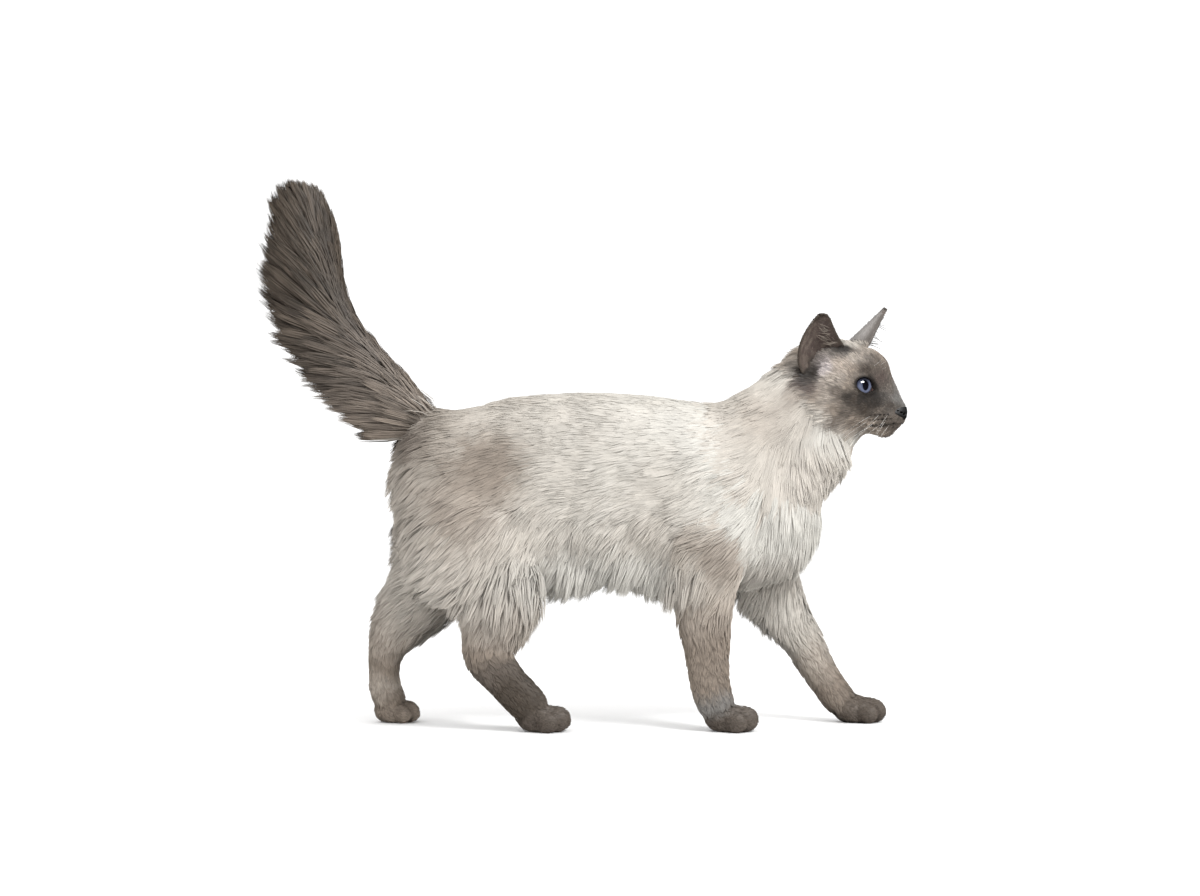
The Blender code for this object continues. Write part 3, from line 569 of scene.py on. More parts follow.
def cut_nostrils(made):
    for middle, reach, lean, turn in NOSTRILS:
        for side in (-1, 1):
            hole = bmesh.new()
            add_oval(hole, mirrored(middle, side), reach, lean, side * turn, around=20)
            combined(made, head_object(hole, "nostril"), "DIFFERENCE")


cut_nostrils(skin)
hide = bmesh.new()
hide.from_mesh(uncut)
hide_tree = BVHTree.FromBMesh(hide)
hide.free()
rows = np.array(MOUTH, float)
mouth_line = [along_rows(rows, i / MOUTH_STEPS) for i in range(MOUTH_STEPS + 1)]
mouth_line += [place * (1, -1, 1) for place in reversed(mouth_line[:-1])]


def on_hide(place):
    """The nearest place of the hide, in metres, to one in the head's frame."""
    return hide_tree.find_nearest(head_place @ (Vector(place) * MM))[0]


mouth_line = [on_hide(place) for place in mouth_line]
combined(skin, tube(mouth_line, MOUTH_RADIUS, "mouth"), "DIFFERENCE")
thinner = skin.modifiers.new("thinner", "DECIMATE")
thinner.ratio = SKIN_KEPT
applied(skin)

# Which limb each place of the hide belongs to, how far along the limb it is and how far
# round. The coat's lie, its length and its markings all read these.
AXIS_STEPS = 40
ALONG_REACH = 9
LEAST_REACH = 5
HEAD_FIRST = 0.62  # below 1 the head's hair keeps to the cheeks, where the neck is as near


def limb_axis(name):
    """Places along a limb's middle, with its ways ahead, up and sideways and its reach."""
    rows = rings_under_coat(name)
    axis = []
    for i in range(AXIS_STEPS):
        t = i / (AXIS_STEPS - 1)
        ring = along_rows(rows, t)
        ahead = along_rows(rows, t + 0.01)[:3] - along_rows(rows, t - 0.01)[:3]
        ahead[1] = 0
        ahead /= np.linalg.norm(ahead)
        rise = np.array((0, 0, 1.0)) if name == "head" else np.array((-ahead[2], 0, ahead[0]))
        side = np.array((0, 1.0, 0))
        middle = ring[:3]
        if name == "head":
            ahead, side = np.array((1.0, 0, 0)) @ head_turn.T, side @ head_turn.T
            middle = middle @ head_turn.T + np.array(HEAD_CENTRE)
        axis.append((*middle, *ahead, *rise, *side, *np.maximum(ring[3:], LEAST_REACH)))
    return np.array(axis)


LIMB_NAMES = [*LIMBS, "head", *EARS]
LIMB_AXES = np.array([limb_axis(name) for name in [*LIMBS, "head"]])
EAR_SKIN = 2.4  # how far from the middle of its shell a place still belongs to an ear
EAR_TIP_SKIN = 4  # that much farther at the tip
EAR_SIDE = 1.4  # how far across, for an edge at 1
EAR_EDGE_TURN = 1.5  # the turn that stands for its edge


def sorted_to_limbs(places):
    """Each place's limb by number, its share of the way along and its turn round the limb."""
    best = np.full(len(places), np.inf)
    limb = np.zeros(len(places), int)
    t, turn = np.zeros(len(places)), np.zeros(len(places))
    for number, axis in enumerate(LIMB_AXES):
        step = np.linalg.norm(axis[-1, :3] - axis[0, :3]) / (AXIS_STEPS - 1)
        for i, ring in enumerate(axis):
            arm = places - ring[:3]
            ahead, rise, side = arm @ ring[3:6], arm @ ring[6:9], arm @ ring[9:12]
            reach = np.where(rise > 0, ring[12], ring[13])
            far = (ahead / ALONG_REACH) ** 2 + (rise / reach) ** 2 + (side / ring[14]) ** 2
            far *= HEAD_FIRST if number == len(LIMBS) else 1
            nearer = far < best
            best[nearer] = far[nearer]
            limb[nearer] = number
            share = (i + ahead / step) / (AXIS_STEPS - 1)
            t[nearer] = np.clip(share[nearer], 0, 1)
            turn[nearer] = np.arctan2(side, rise)[nearer]
    for name in EARS:
        base, *axes = (np.array(way) for way in ear_axes(name))
        side, rise, proud = ((into_head(places) - base) @ np.linalg.inv(np.array(axes))).T
        v = np.clip(rise / EARS[name][3], 0, 1)
        u = (side + ear_bow(name, v)) / np.maximum(ear_half(name, v), 4)
        proud = proud - ear_depth(name, np.clip(u, -1, 1), v)
        near = np.abs(proud) < EAR_SKIN + np.interp(v, (0.8, 0.95), (0, EAR_TIP_SKIN))
        here = (rise > 1) & (np.abs(u) < EAR_SIDE) & near
        limb[here] = LIMB_NAMES.index(name)
        t[here] = v[here]
        aside = u * EAR_EDGE_TURN
        turn[here] = np.where(proud > 0, aside, math.pi - aside)[here]
    turn = (turn + math.pi) % (2 * math.pi) - math.pi
    return limb, t, turn


# The markings of a blue point coat: cream to white on the body, warm grey-brown on the tail,
# the face and the ears, darker down the legs. Colours are named in screen values, and each
# limb shades from one to the next along its length.
COLOURS = {
    "white": (219, 216, 208),
    "cream": (208, 201, 191),
    "sand": (188, 177, 165),
    "peach": (196, 182, 168),
    "rose": (214, 204, 202),
    "taupe": (152, 139, 126),
    "silver": (186, 181, 177),
    "pewter": (166, 161, 157),
    "ash": (136, 133, 129),
    "smoke": (114, 104, 95),
    "mauve": (98, 84, 78),
    "umber": (90, 80, 70),
    "slate": (80, 70, 61),
    "dusk": (52, 45, 39),
}
LIGHT = 1.3  # the light that falls on the coat, for a white wall at 1
LIMB_SHADES = {
    "torso": ((0, "cream"), (0.35, "cream"), (0.7, "white"), (1, "white")),
    "neck": ((0, "cream"), (0.6, "cream"), (1, "white")),
    "tail": ((0, "sand"), (0.1, "taupe"), (0.32, "smoke"), (0.55, "umber"), (1, "umber")),
    "fore_right": (
        (0, "cream"), (0.26, "sand"), (0.46, "taupe"), (0.7, "taupe"), (0.84, "ash"),
        (0.93, "smoke"), (1, "smoke"),
    ),
    "fore_left": ((0, "white"), (0.42, "cream"), (0.56, "sand"), (0.68, "taupe"), (1, "smoke")),
    "hind_right": (
        (0, "cream"), (0.25, "cream"), (0.44, "sand"), (0.54, "taupe"), (0.64, "smoke"),
        (0.74, "umber"), (0.88, "umber"), (0.94, "smoke"), (1, "smoke"),
    ),
    "hind_left": (
        (0, "cream"), (0.3, "cream"), (0.5, "sand"), (0.66, "taupe"), (0.76, "sand"),
        (0.86, "taupe"), (1, "taupe"),
    ),
    "head": ((0, "sand"), (0.6, "sand"), (0.75, "taupe"), (1, "ash")),
    "ear_right": ((0, "smoke"), (0.3, "slate"), (1, "slate")),
    "ear_left": ((0, "pewter"), (0.3, "silver"), (0.8, "pewter"), (1, "slate")),
}
# Patches over those: colour, strength, middle, reach. They lie alike on both sides of the cat,
# and those of the head are in its own frame.
BODY_PATCHES = (
    ("taupe", 0.9, (-78, 45, 222), (30, 50, 30)),
    ("taupe", 0.8, (-102, 40, 188), (34, 50, 34)),
    ("sand", 0.3, (-100, 30, 170), (50, 60, 50)),
    ("taupe", 0.3, (-154, 0, 190), (20, 60, 50)),
    ("taupe", 0.7, (-128, 0, 236), (38, 50, 38)),
    ("smoke", 0.7, (-144, 0, 246), (22, 34, 22)),
    ("sand", 0.3, (60, 40, 150), (50, 50, 26)),
    ("taupe", 0.6, (104, 50, 142), (30, 30, 22)),
    ("sand", 0.3, (70, 50, 190), (40, 30, 40)),
    ("taupe", 0.4, (160, 20, 128), (40, 30, 22)),
    ("sand", 0.6, (150, 50, 262), (26, 40, 26)),
    ("white", 0.9, (10, 30, 124), (80, 60, 26)),
    ("slate", 0.5, (122, 32, 4), (24, 20, 14)),
    ("slate", 0.5, (238, 33, 4), (26, 20, 14)),
    ("slate", 0.5, (-32, 33, 4), (26, 20, 14)),
)
# The head's colours at places of its own frame, both sides laid on the left one, and how far
# under the jaw and behind the ears they reach.
HEAD_SHADES = (
    (28, 22, 13, "slate"), (21, 28, 12, "taupe"), (11, 30, 15, "peach"), (3, 34, 6, "sand"),
    (9, 34, 3, "sand"), (16, 32, -1, "taupe"), (-3, 31, 13, "rose"), (-14, 33, 10, "dusk"),
    (-20, 36, 10, "dusk"), (-20, 39, 4, "dusk"), (-23, 41, 0, "mauve"), (-15, 41, -4, "mauve"),
    (-24, 42, -8, "sand"), (-36, 41, 4, "cream"), (-36, 24, 20, "sand"), (-26, 18, 32, "taupe"),
    (-32, 0, 34, "cream"), (-10, 0, 42, "cream"), (5, 0, 41, "cream"), (11, 15, 35, "cream"),
    (14, 8, 37, "cream"), (8, 21, 30, "dusk"), (14, 17, 29, "smoke"), (19, 22, 22, "sand"),
    (25, 5, 28, "sand"), (32, 12, 19, "smoke"), (31, 0, 22, "taupe"), (38, 9, 5, "mauve"),
    (40, 0, 6, "smoke"), (44, 6, -3, "smoke"), (46, 0, -4, "ash"), (52, 6, -13, "ash"),
    (56, 0, -15, "ash"), (36, 20, -11, "dusk"), (36, 19, -14, "dusk"), (33, 21, -17, "dusk"),
    (27, 26, -13, "dusk"), (21, 30, -14, "slate"), (17, 33, -9, "dusk"), (9, 36, -7, "smoke"),
    (0, 39, -11, "sand"), (-11, 42, -12, "taupe"), (14, 32, -21, "smoke"),
    (6, 36, -22, "taupe"), (18, 24, -31, "taupe"), (3, 35, -31, "smoke"),
    (-4, 38, -30, "cream"), (30, 23, -21, "slate"), (38, 17, -22, "smoke"),
    (49, 11, -17, "slate"), (44, 14, -29, "smoke"), (31, 16, -33, "taupe"),
    (52, 7, -33, "smoke"), (46, 0, -44, "smoke"), (37, 6, -42, "taupe"), (24, 6, -41, "sand"),
    (10, 17, -41, "sand"), (3, 21, -50, "white"), (16, 10, -50, "white"), (8, 0, -54, "white"),
    (-8, 32, -44, "white"), (-9, 42, -30, "cream"), (-17, 44, -20, "cream"),
)
HEAD_SHADES_BEHIND = (-50, -24)
HEAD_SHADES_UNDER = (-62, -50)
HEAD_PATCHES = (
    ("dusk", 1.0, (9, 20, 31), (6, 5, 5)),
    ("dusk", 0.9, (36.5, 12, -5.5), (2.6, 2.4, 1.8)),
    ("dusk", 0.9, (40, 10.5, -8.5), (2.6, 2.4, 1.8)),
    ("dusk", 0.8, (43, 9.6, -11), (2.6, 2.4, 1.8)),
    ("dusk", 0.6, (46, 9.3, -14), (2.6, 2.4, 1.8)),
)
LID_SHADE_WIDTH = 2.6  # the dark skin round the lids
MOUTH_SHADE_WIDTH = 1.2
# Rows of whisker roots on the left pad: the first and last, and how many.
WHISKER_ROWS = (
    ((47, 15.5, -25.2), (33, 18, -25.8), 5),
    ((49, 14.5, -28.8), (31, 17, -30.0), 6),
    ((50, 9.5, -32.4), (33, 15, -34.2), 6),
)
WHISKER_SPOT = 1.25
SPOT_STRETCH = (1, 0.5, 1.4)
# The nostrils' holes are darkened with painted shade over this middle and reach.
NOSTRIL_SHADE = np.array(((56, 6, -24), (4, 6, 3)))  # middle and reach
COLOUR_STRAY = 1.6  # how far the head's colours run into each other
LIMB_STRAY = 0.025  # the same along a limb, as a share of its length
PATCH_STRAY = 0.14  # and at the edge of a patch, which fades between these shares of its reach
PATCH_FADE = (1.5, 0.45)
RIPPLE_WAVES = 7


def shade(name):
    """A named colour as the renderer's linear values."""
    value = np.array(COLOURS[name]) / 255
    return np.where(value < 0.04045, value / 12.92, ((value + 0.055) / 1.055) ** 2.4) / LIGHT


def folded(inside):
    """Places of the head with both sides laid on the left one."""
    return np.column_stack((inside[:, 0], np.abs(inside[:, 1]), inside[:, 2]))


def ripple(places, size, seed):
    """Soft noise between about -1 and 1 that changes over this many millimetres."""
    draw = np.random.default_rng(seed)
    ways = draw.normal(size=(RIPPLE_WAVES, 3))
    ways /= np.linalg.norm(ways, axis=1)[:, None]
    sizes = size * draw.uniform(0.6, 1.6, RIPPLE_WAVES)
    starts = draw.uniform(0, 6.3, RIPPLE_WAVES)
    waves = np.sin(places @ (ways / sizes[:, None]).T * 2 * math.pi + starts)
    return waves.sum(axis=1) * 2 / RIPPLE_WAVES


def ripples(places, size, seeds):
    """Three ripples as the parts of a way."""
    return np.column_stack([ripple(places, size, seed) for seed in seeds])


def nearest_rows(places, table, keys, soft=2):
    """A mix of the table's rows for each place, those nearer than about soft counting most."""
    table = np.array(table)
    gap = ((places[:, None, :] - table[None, :, :keys]) ** 2).sum(axis=2) + soft**2
    share = gap**-2.0
    return share @ table[:, keys:] / share.sum(axis=1)[:, None]


def gap_to(places, marks, stretch=(1, 1, 1)):
    """How far each place is from the nearest mark."""
    return np.linalg.norm((places[:, None] - marks[None]) * stretch, axis=2).min(axis=1)


def toward(colours, goal, share):
    """Colours moved toward others by the share of each place."""
    return colours + (goal - colours) * share[:, None]


def patched(colours, places, patches):
    for name, strength, centre, reach in patches:
        far = np.linalg.norm((places - np.array(centre)) / np.array(reach), axis=1)
        far += PATCH_STRAY * ripple(places, 11, 3)
        colours = toward(colours, shade(name), smooth_step(far, *PATCH_FADE) * strength)
    return colours


def whisker_roots():
    """The places on the left pad that carry a whisker, in the head's frame."""
    return [
        Vector(start).lerp(Vector(end), i / (count - 1))
        for start, end, count in WHISKER_ROWS
        for i in range(count)
    ]


def outside_lids(inside):
    """How far a folded place of the head lies outside the slit of its lids, 0 on its edge."""
    axis, along, rise = (np.array(way) for way in eye_axes(1))
    arm = inside - np.array(EYE_CENTRE)
    height = arm @ rise
    half = np.where(height > 0, EYE_SLIT[2], EYE_SLIT[3])
    inward = arm @ along > 0
    length = np.where(inward, EYE_SLIT[0], EYE_SLIT[1])
    steep = (np.abs(height) / half) ** np.where(inward, 1 / CORNER_POINT, 1)
    oval = np.hypot((arm @ along) / length, steep)
    return np.where(arm @ axis > 0, (oval - 1) * half, 99)


def ear_markings(colours, places, t, turn):
    """A dark rim, and in the cup a paler rear and painted shade in the ear's opening at its foot.
    """
    in_cup = np.abs(turn) < EAR_EDGE_TURN + 0.05
    u = np.where(in_cup, turn, np.sign(turn) * (math.pi - np.abs(turn))) / EAR_EDGE_TURN
    colours = toward(colours, shade("slate"), 0.75 * smooth_step(np.abs(u), 0.5, 0.95))
    pale = 0.25 * smooth_step(-u, -0.4, 0.7) + 0.25 * ripple(places, 7, 8)
    inner = toward(shade("mauve"), shade("taupe"), np.clip(pale, 0, 1))
    # Painted shade where the ear's opening sinks into the head, at the foot of the cup.
    canal_painted_shade = np.exp(-(((u + 0.4) / 0.22) ** 2) - (t / 0.14) ** 2)
    inner = toward(inner, shade("dusk"), canal_painted_shade)
    cup = in_cup * smooth_step(np.abs(u), 1.0, 0.8) * smooth_step(t, 0.97, 0.86)
    return toward(colours, inner, cup)


def head_markings(colours, places):
    """The mask, dark lids, lips and whisker spots, and painted nostril shade, on head and neck.
    """
    inside = folded(into_head(places))
    table = [(*place, *shade(name)) for *place, name in HEAD_SHADES]
    mask = nearest_rows(inside + COLOUR_STRAY * ripples(inside, 9, (31, 32, 33)), table, 3, 3.5)
    share = smooth_step(inside[:, 0], *HEAD_SHADES_BEHIND)
    share *= smooth_step(inside[:, 2], *HEAD_SHADES_UNDER)
    colours = patched(toward(colours, mask, share), inside, HEAD_PATCHES)
    dark = smooth_step(outside_lids(inside), LID_SHADE_WIDTH, 0.2)
    lips = folded(into_head(np.array(mouth_line[: MOUTH_STEPS + 1]) / MM))
    dark = np.maximum(dark, smooth_step(gap_to(inside, lips), MOUTH_SHADE_WIDTH, 0.5))
    gap = gap_to(inside, np.array(whisker_roots()), SPOT_STRETCH) / WHISKER_SPOT
    dark = np.maximum(dark, 0.95 * smooth_step(gap, 1.2, 0.7))
    colours = toward(colours, shade("dusk") * 0.8, dark)
    # Painted shade deep in the nostrils: colours there fall to a tenth.
    nostril = np.linalg.norm((inside - NOSTRIL_SHADE[0]) / NOSTRIL_SHADE[1], axis=1)
    return colours * np.interp(nostril, (1, 1.3), (0.1, 1))[:, None]


def markings(places, limb, t, turn):
    """The coat's colour at each place."""
    colours = np.zeros((len(places), 3))
    shifted = np.clip(t + LIMB_STRAY * ripple(places, 22, 5), 0, 1)
    for number, name in enumerate(LIMB_NAMES):
        here = limb == number
        stops, names = zip(*LIMB_SHADES[name])
        for channel, values in enumerate(np.array([shade(name) for name in names]).T):
            colours[here, channel] = np.interp(shifted[here], stops, values)
    fold = places * (1, 0, 1) + np.abs(places) * (0, 1, 0)
    colours = patched(colours, fold, BODY_PATCHES)
    ears = limb >= LIMB_NAMES.index("ear_right")
    colours[ears] = ear_markings(colours[ears], places[ears], t[ears], turn[ears])
    upper = np.isin(limb, (LIMB_NAMES.index("head"), LIMB_NAMES.index("neck")))
    colours[upper] = head_markings(colours[upper], places[upper])
    return colours


def paint(mesh, colours):
    """Gives every vertex its colour, which the material reads as coat_colour."""
    layer = mesh.color_attributes.new(name="coat_colour", type="FLOAT_COLOR", domain="POINT")
    rgba = np.ones((len(mesh.vertices), 4), np.float32)
    rgba[:, :3] = colours
    layer.data.foreach_set("color", rgba.ravel())


def shader_of(name, roughness, specular=0.5):
    """A new material, its shader and the tree of nodes that feeds it."""
    material = bpy.data.materials.new(name)
    material.use_nodes = True
    shader = material.node_tree.nodes["Principled BSDF"]
    shader.inputs["Roughness"].default_value = roughness
    shader.inputs["Specular IOR Level"].default_value = specular
    return material, shader, material.node_tree


def add_node(tree, kind, feeds, **settings):
    """A new node, each input named in feeds being given that constant or that output."""
    made = tree.nodes.new("ShaderNode" + kind)
    for key, value in settings.items():
        setattr(made, key, value)
    for key, value in feeds.items():
        if isinstance(value, bpy.types.NodeSocket):
            tree.links.new(value, made.inputs[key])
        else:
            made.inputs[key].default_value = value
    return made


def mixed(tree, first, second, factor=1, blend="MULTIPLY"):
    """The colour that two make together. They are inputs 6 and 7 of a Mix node."""
    feeds = {"Factor": factor, 6: first, 7: second}
    return add_node(tree, "Mix", feeds, data_type="RGBA", blend_type=blend).outputs[2]


def fine_noise(tree, scale, detail=2):
    where = add_node(tree, "TexCoord", {}).outputs["Object"]
    feeds = {"Vector": where, "Scale": scale, "Detail": detail}
    return add_node(tree, "TexNoise", feeds).outputs["Fac"]


def streaked(tree, noise, low, high):
    """The mesh's coat_colour, dimmed or raised by the noise."""
    colour = add_node(tree, "Attribute", {}, attribute_name="coat_colour").outputs["Color"]
    levels = add_node(tree, "MapRange", {"Value": noise, "To Min": low, "To Max": high})
    return mixed(tree, colour, levels.outputs["Result"])


def give_grain(tree, shader, noise, strength, depth):
    feeds = {"Height": noise, "Strength": strength, "Distance": depth}
    grain = add_node(tree, "Bump", feeds).outputs["Normal"]
    tree.links.new(grain, shader.inputs["Normal"])


def hide_material():
    """The short pile seen between tufts: the markings in streaks of fine noise."""
    material, shader, tree = shader_of("short_pile", 0.8, 0.15)
    noise = fine_noise(tree, 420, detail=4)
    tree.links.new(streaked(tree, noise, 0.78, 1.02), shader.inputs["Base Color"])
    give_grain(tree, shader, noise, strength=0.5, depth=0.0006)
    return material


HIDE_SHADE = 0.85  # of the coat's own colour, under the tufts
places = array_of(skin.data.vertices, "co", 3) / MM
limb, t, turn = sorted_to_limbs(places)
paint(skin.data, markings(places, limb, t, turn) * HIDE_SHADE)
skin.data.materials.clear()
skin.data.materials.append(hide_material())
skin.data.shade_smooth()
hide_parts(*[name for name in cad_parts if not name.startswith(("eye", "nose"))])
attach(skin, "root")

# An eye is a wet ball with a clear bulge over a blue iris and an upright oval pupil. It sits
# in its socket behind the lids, whose bare dark margins and pink inner corner frame it.
IRIS_RADIUS = 7.2
PUPIL = (2.6, 4.3)  # half width and half height
GAZE = Vector((0.35, -0.93, 0.06)).normalized()  # of the right eye, in the frame
BULGE = 0.9
BALL_GAP = 0.1  # between the ball and the lids
# The iris's colours from the pupil to the white of the eye, for its rim at about 0.93.
IRIS_STOPS = (
    (0.3, (0.03, 0.04, 0.07)),
    (0.6, (0.115, 0.13, 0.19)),
    (0.84, (0.085, 0.095, 0.145)),
    (0.93, (0.01, 0.01, 0.02)),
    (0.97, (0.02, 0.015, 0.015)),
    (1.0, (0.06, 0.045, 0.04)),
)
PUPIL_COLOUR = (0.004, 0.004, 0.006, 1)


def make_eye(name, side):
    """A ball with a bulge over its iris, and each place's way from the pupil as iris_place."""
    gaze = head_place.to_3x3().inverted() @ GAZE
    gaze.y *= -side
    gaze.normalize()
    across = Vector((0, 0, 1)).cross(gaze).normalized() * -side
    rise = gaze.cross(across) * -side
    bm = bmesh.new()
    bmesh.ops.create_uvsphere(bm, u_segments=64, v_segments=64, radius=1)
    local = [vert.co.copy() for vert in bm.verts]
    for vert, way in zip(bm.verts, local):
        rim = math.hypot(way.x, way.y) * EYE_RADIUS / IRIS_RADIUS
        proud = BULGE * math.exp(-((rim / 0.9) ** 4)) if way.z > 0 else 0
        place = (across * way.x + rise * way.y + gaze * way.z) * (EYE_RADIUS - BALL_GAP + proud)
        vert.co = head_place @ ((mirrored(EYE_CENTRE, side) + place) * MM)
    bmesh.ops.recalc_face_normals(bm, faces=bm.faces)
    eye = object_from(bm, name)
    where = eye.data.attributes.new("iris_place", "FLOAT_VECTOR", "POINT")
    iris = [(way * EYE_RADIUS / IRIS_RADIUS) if way.z > 0 else Vector((3, 3, 0)) for way in local]
    where.data.foreach_set("vector", np.array(iris, np.float32).ravel())
    eye.data.shade_smooth()
    return eye


def ramp_of(tree, value, stops):
    """A colour ramp over the value through these stops, each a place and a colour."""
    ramp = add_node(tree, "ValToRGB", {"Fac": value})
    elements = ramp.color_ramp.elements
    while len(elements) < len(stops):
        elements.new(0.5)
    for element, (place, colour) in zip(elements, stops):
        element.position = place
        element.color = (*colour, 1)
    return ramp.outputs["Color"]


def eye_material():
    """Blue fibres from a dark pupil to a dark ring, and a painted shadow of the upper eyelid."""
    material, shader, tree = shader_of("eye_blue", 0.05)
    where = add_node(tree, "Attribute", {}, attribute_name="iris_place").outputs["Vector"]

    def step(operation, *feeds):
        made = add_node(tree, "VectorMath", dict(enumerate(feeds)), operation=operation)
        return made.outputs["Value" if operation == "LENGTH" else "Vector"]

    flat = step("MULTIPLY", where, (1, 1, 0))
    feeds = {"Vector": step("NORMALIZE", flat), "Scale": 7, "Detail": 5}
    fibres = add_node(tree, "TexNoise", feeds).outputs["Fac"]
    feeds = {0: fibres, 1: 0.10, 2: step("LENGTH", flat)}
    rim = add_node(tree, "Math", feeds, operation="MULTIPLY_ADD").outputs["Value"]
    rim = add_node(tree, "Math", {0: rim, 1: 0.05}, operation="SUBTRACT").outputs["Value"]
    iris = ramp_of(tree, rim, IRIS_STOPS)
    oval = (IRIS_RADIUS / PUPIL[0], IRIS_RADIUS / PUPIL[1], 0)
    pupil = step("LENGTH", step("MULTIPLY", where, oval))
    feeds = {"Value": pupil, "From Min": 0.9, "From Max": 1.06}
    edge = add_node(tree, "MapRange", feeds).outputs["Result"]
    colour = mixed(tree, PUPIL_COLOUR, iris, factor=edge, blend="MIX")
    # A painted shadow of the upper eyelid: the iris darkens toward its top.
    height = add_node(tree, "SeparateXYZ", {"Vector": where}).outputs["Y"]
    feeds = {"Value": height, "From Min": -0.1, "From Max": 0.7, "To Min": 1, "To Max": 0.08}
    lid_painted_shadow = add_node(tree, "MapRange", feeds).outputs["Result"]
    tree.links.new(mixed(tree, colour, lid_painted_shadow), shader.inputs["Base Color"])
    return material


wet_eye = eye_material()
for name, side in (("eye_right", -1), ("eye_left", 1)):
    eye = make_eye(name + "_ball", side)
    eye.data.materials.append(wet_eye)
    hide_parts(name)
    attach(eye, "root")


def plain_material(name, colour, roughness, scale, depth):
    """A skin or horn finish: one colour broken by fine noise, with the noise as its grain."""
    material, shader, tree = shader_of(name, roughness)
    noise = fine_noise(tree, scale)
    dark, light = np.array(colour) * 0.7, np.minimum(np.array(colour) * 1.25, 1)
    tree.links.new(ramp_of(tree, noise, ((0.3, dark), (0.7, light))), shader.inputs["Base Color"])
    give_grain(tree, shader, noise, strength=0.6, depth=depth)
    return material


MARGIN_RADIUS = 0.5
CORNER_REACH = (2.6, 1.3, 1.2)  # of the pink inner corner, along and up the slit and out
CORNER_PLACE = (EYE_SLIT[0] - 2.0, -0.2)
LEAST_OUT = 2  # a margin or corner keeps at least this far out of the middle of the eye


def on_ball(radius, a, b):
    """How far out of an eye's middle its surface is at a place of its slit."""
    return math.sqrt(max(radius**2 - a * a - b * b, LEAST_OUT**2))


lid_skin = plain_material("lid_margin", (0.016, 0.013, 0.012), 0.45, 900, 0.0001)
pink_skin = plain_material("inner_corner", (0.13, 0.075, 0.065), 0.3, 700, 0.0001)
for name, side in (("lid_margin_right", -1), ("lid_margin_left", 1)):
    axis, along, rise = eye_axes(side)
    ring = []
    for a, b in slit_outline(steps=24, more=0.1):
        out = on_ball(EYE_RADIUS + LID * 0.55, a, b)
        ring.append(head_place @ (at_eye(side, out, a, b) * MM))
    margin = tube([*ring, ring[0]], MARGIN_RADIUS, name)
    margin.data.materials.append(lid_skin)
    margin.data.shade_smooth()
    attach(margin, "root")
    corner = bmesh.new()
    add_oval(corner, (0, 0, 0), CORNER_REACH, around=20)
    turned = Matrix((along, rise, axis)).transposed().to_4x4()
    middle = at_eye(side, on_ball(EYE_RADIUS, *CORNER_PLACE), *CORNER_PLACE)
    place = Matrix.Translation(middle * MM) @ turned
    bmesh.ops.transform(corner, matrix=place, verts=corner.verts)
    bmesh.ops.recalc_face_normals(corner, faces=corner.faces)
    corner = head_object(corner, name.replace("lid_margin", "eye_corner"))
    corner.data.materials.append(pink_skin)
    corner.data.shade_smooth()
    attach(corner, "root")

# The nose leather is a moist dark pad that follows the end of the muzzle, wide above and
# narrow below, with a comma-shaped nostril on each side and a groove down its middle.
NOSE_CENTRE = Vector((55.5, 0, -24.0))
NOSE_REACH = (10.4, 13.6, 5.6)
NOSE_TILT = math.radians(-4)
NOSE_NARROW = 0.68  # how much narrower it is at its foot
NOSE_PROUD = 0.6
NOSE_AREA = 20
leather = bpy.data.objects.new("nose_leather", uncut.copy())
bpy.context.scene.collection.objects.link(leather)
swollen = bmesh.new()
swollen.from_mesh(leather.data)
nose_middle = head_place @ (NOSE_CENTRE * MM)
for vert in [v for v in swollen.verts if (v.co - nose_middle).length <= NOSE_AREA * MM]:
    vert.co += vert.normal * NOSE_PROUD * MM
swollen.to_mesh(leather.data)
swollen.free()
pad = bmesh.new()
add_oval(pad, (0, 0, 0), NOSE_REACH, around=48)
for vert in pad.verts:
    low = max(0.0, -vert.co.z / (NOSE_REACH[2] * MM))
    vert.co.y *= 1 - NOSE_NARROW * low
tilt = Matrix.Translation(NOSE_CENTRE * MM) @ Matrix.Rotation(NOSE_TILT, 4, "Y")
bmesh.ops.transform(pad, matrix=head_place @ tilt, verts=pad.verts)
combined(leather, object_from(pad, "pad"), "INTERSECT")
cut_nostrils(leather)
leather.data.materials.clear()
moist = plain_material("moist_leather", (0.011, 0.0105, 0.011), 0.55, 1300, 0.0002)
leather.data.materials.append(moist)
leather.data.shade_smooth()
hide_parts("nose")
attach(leather, "root")

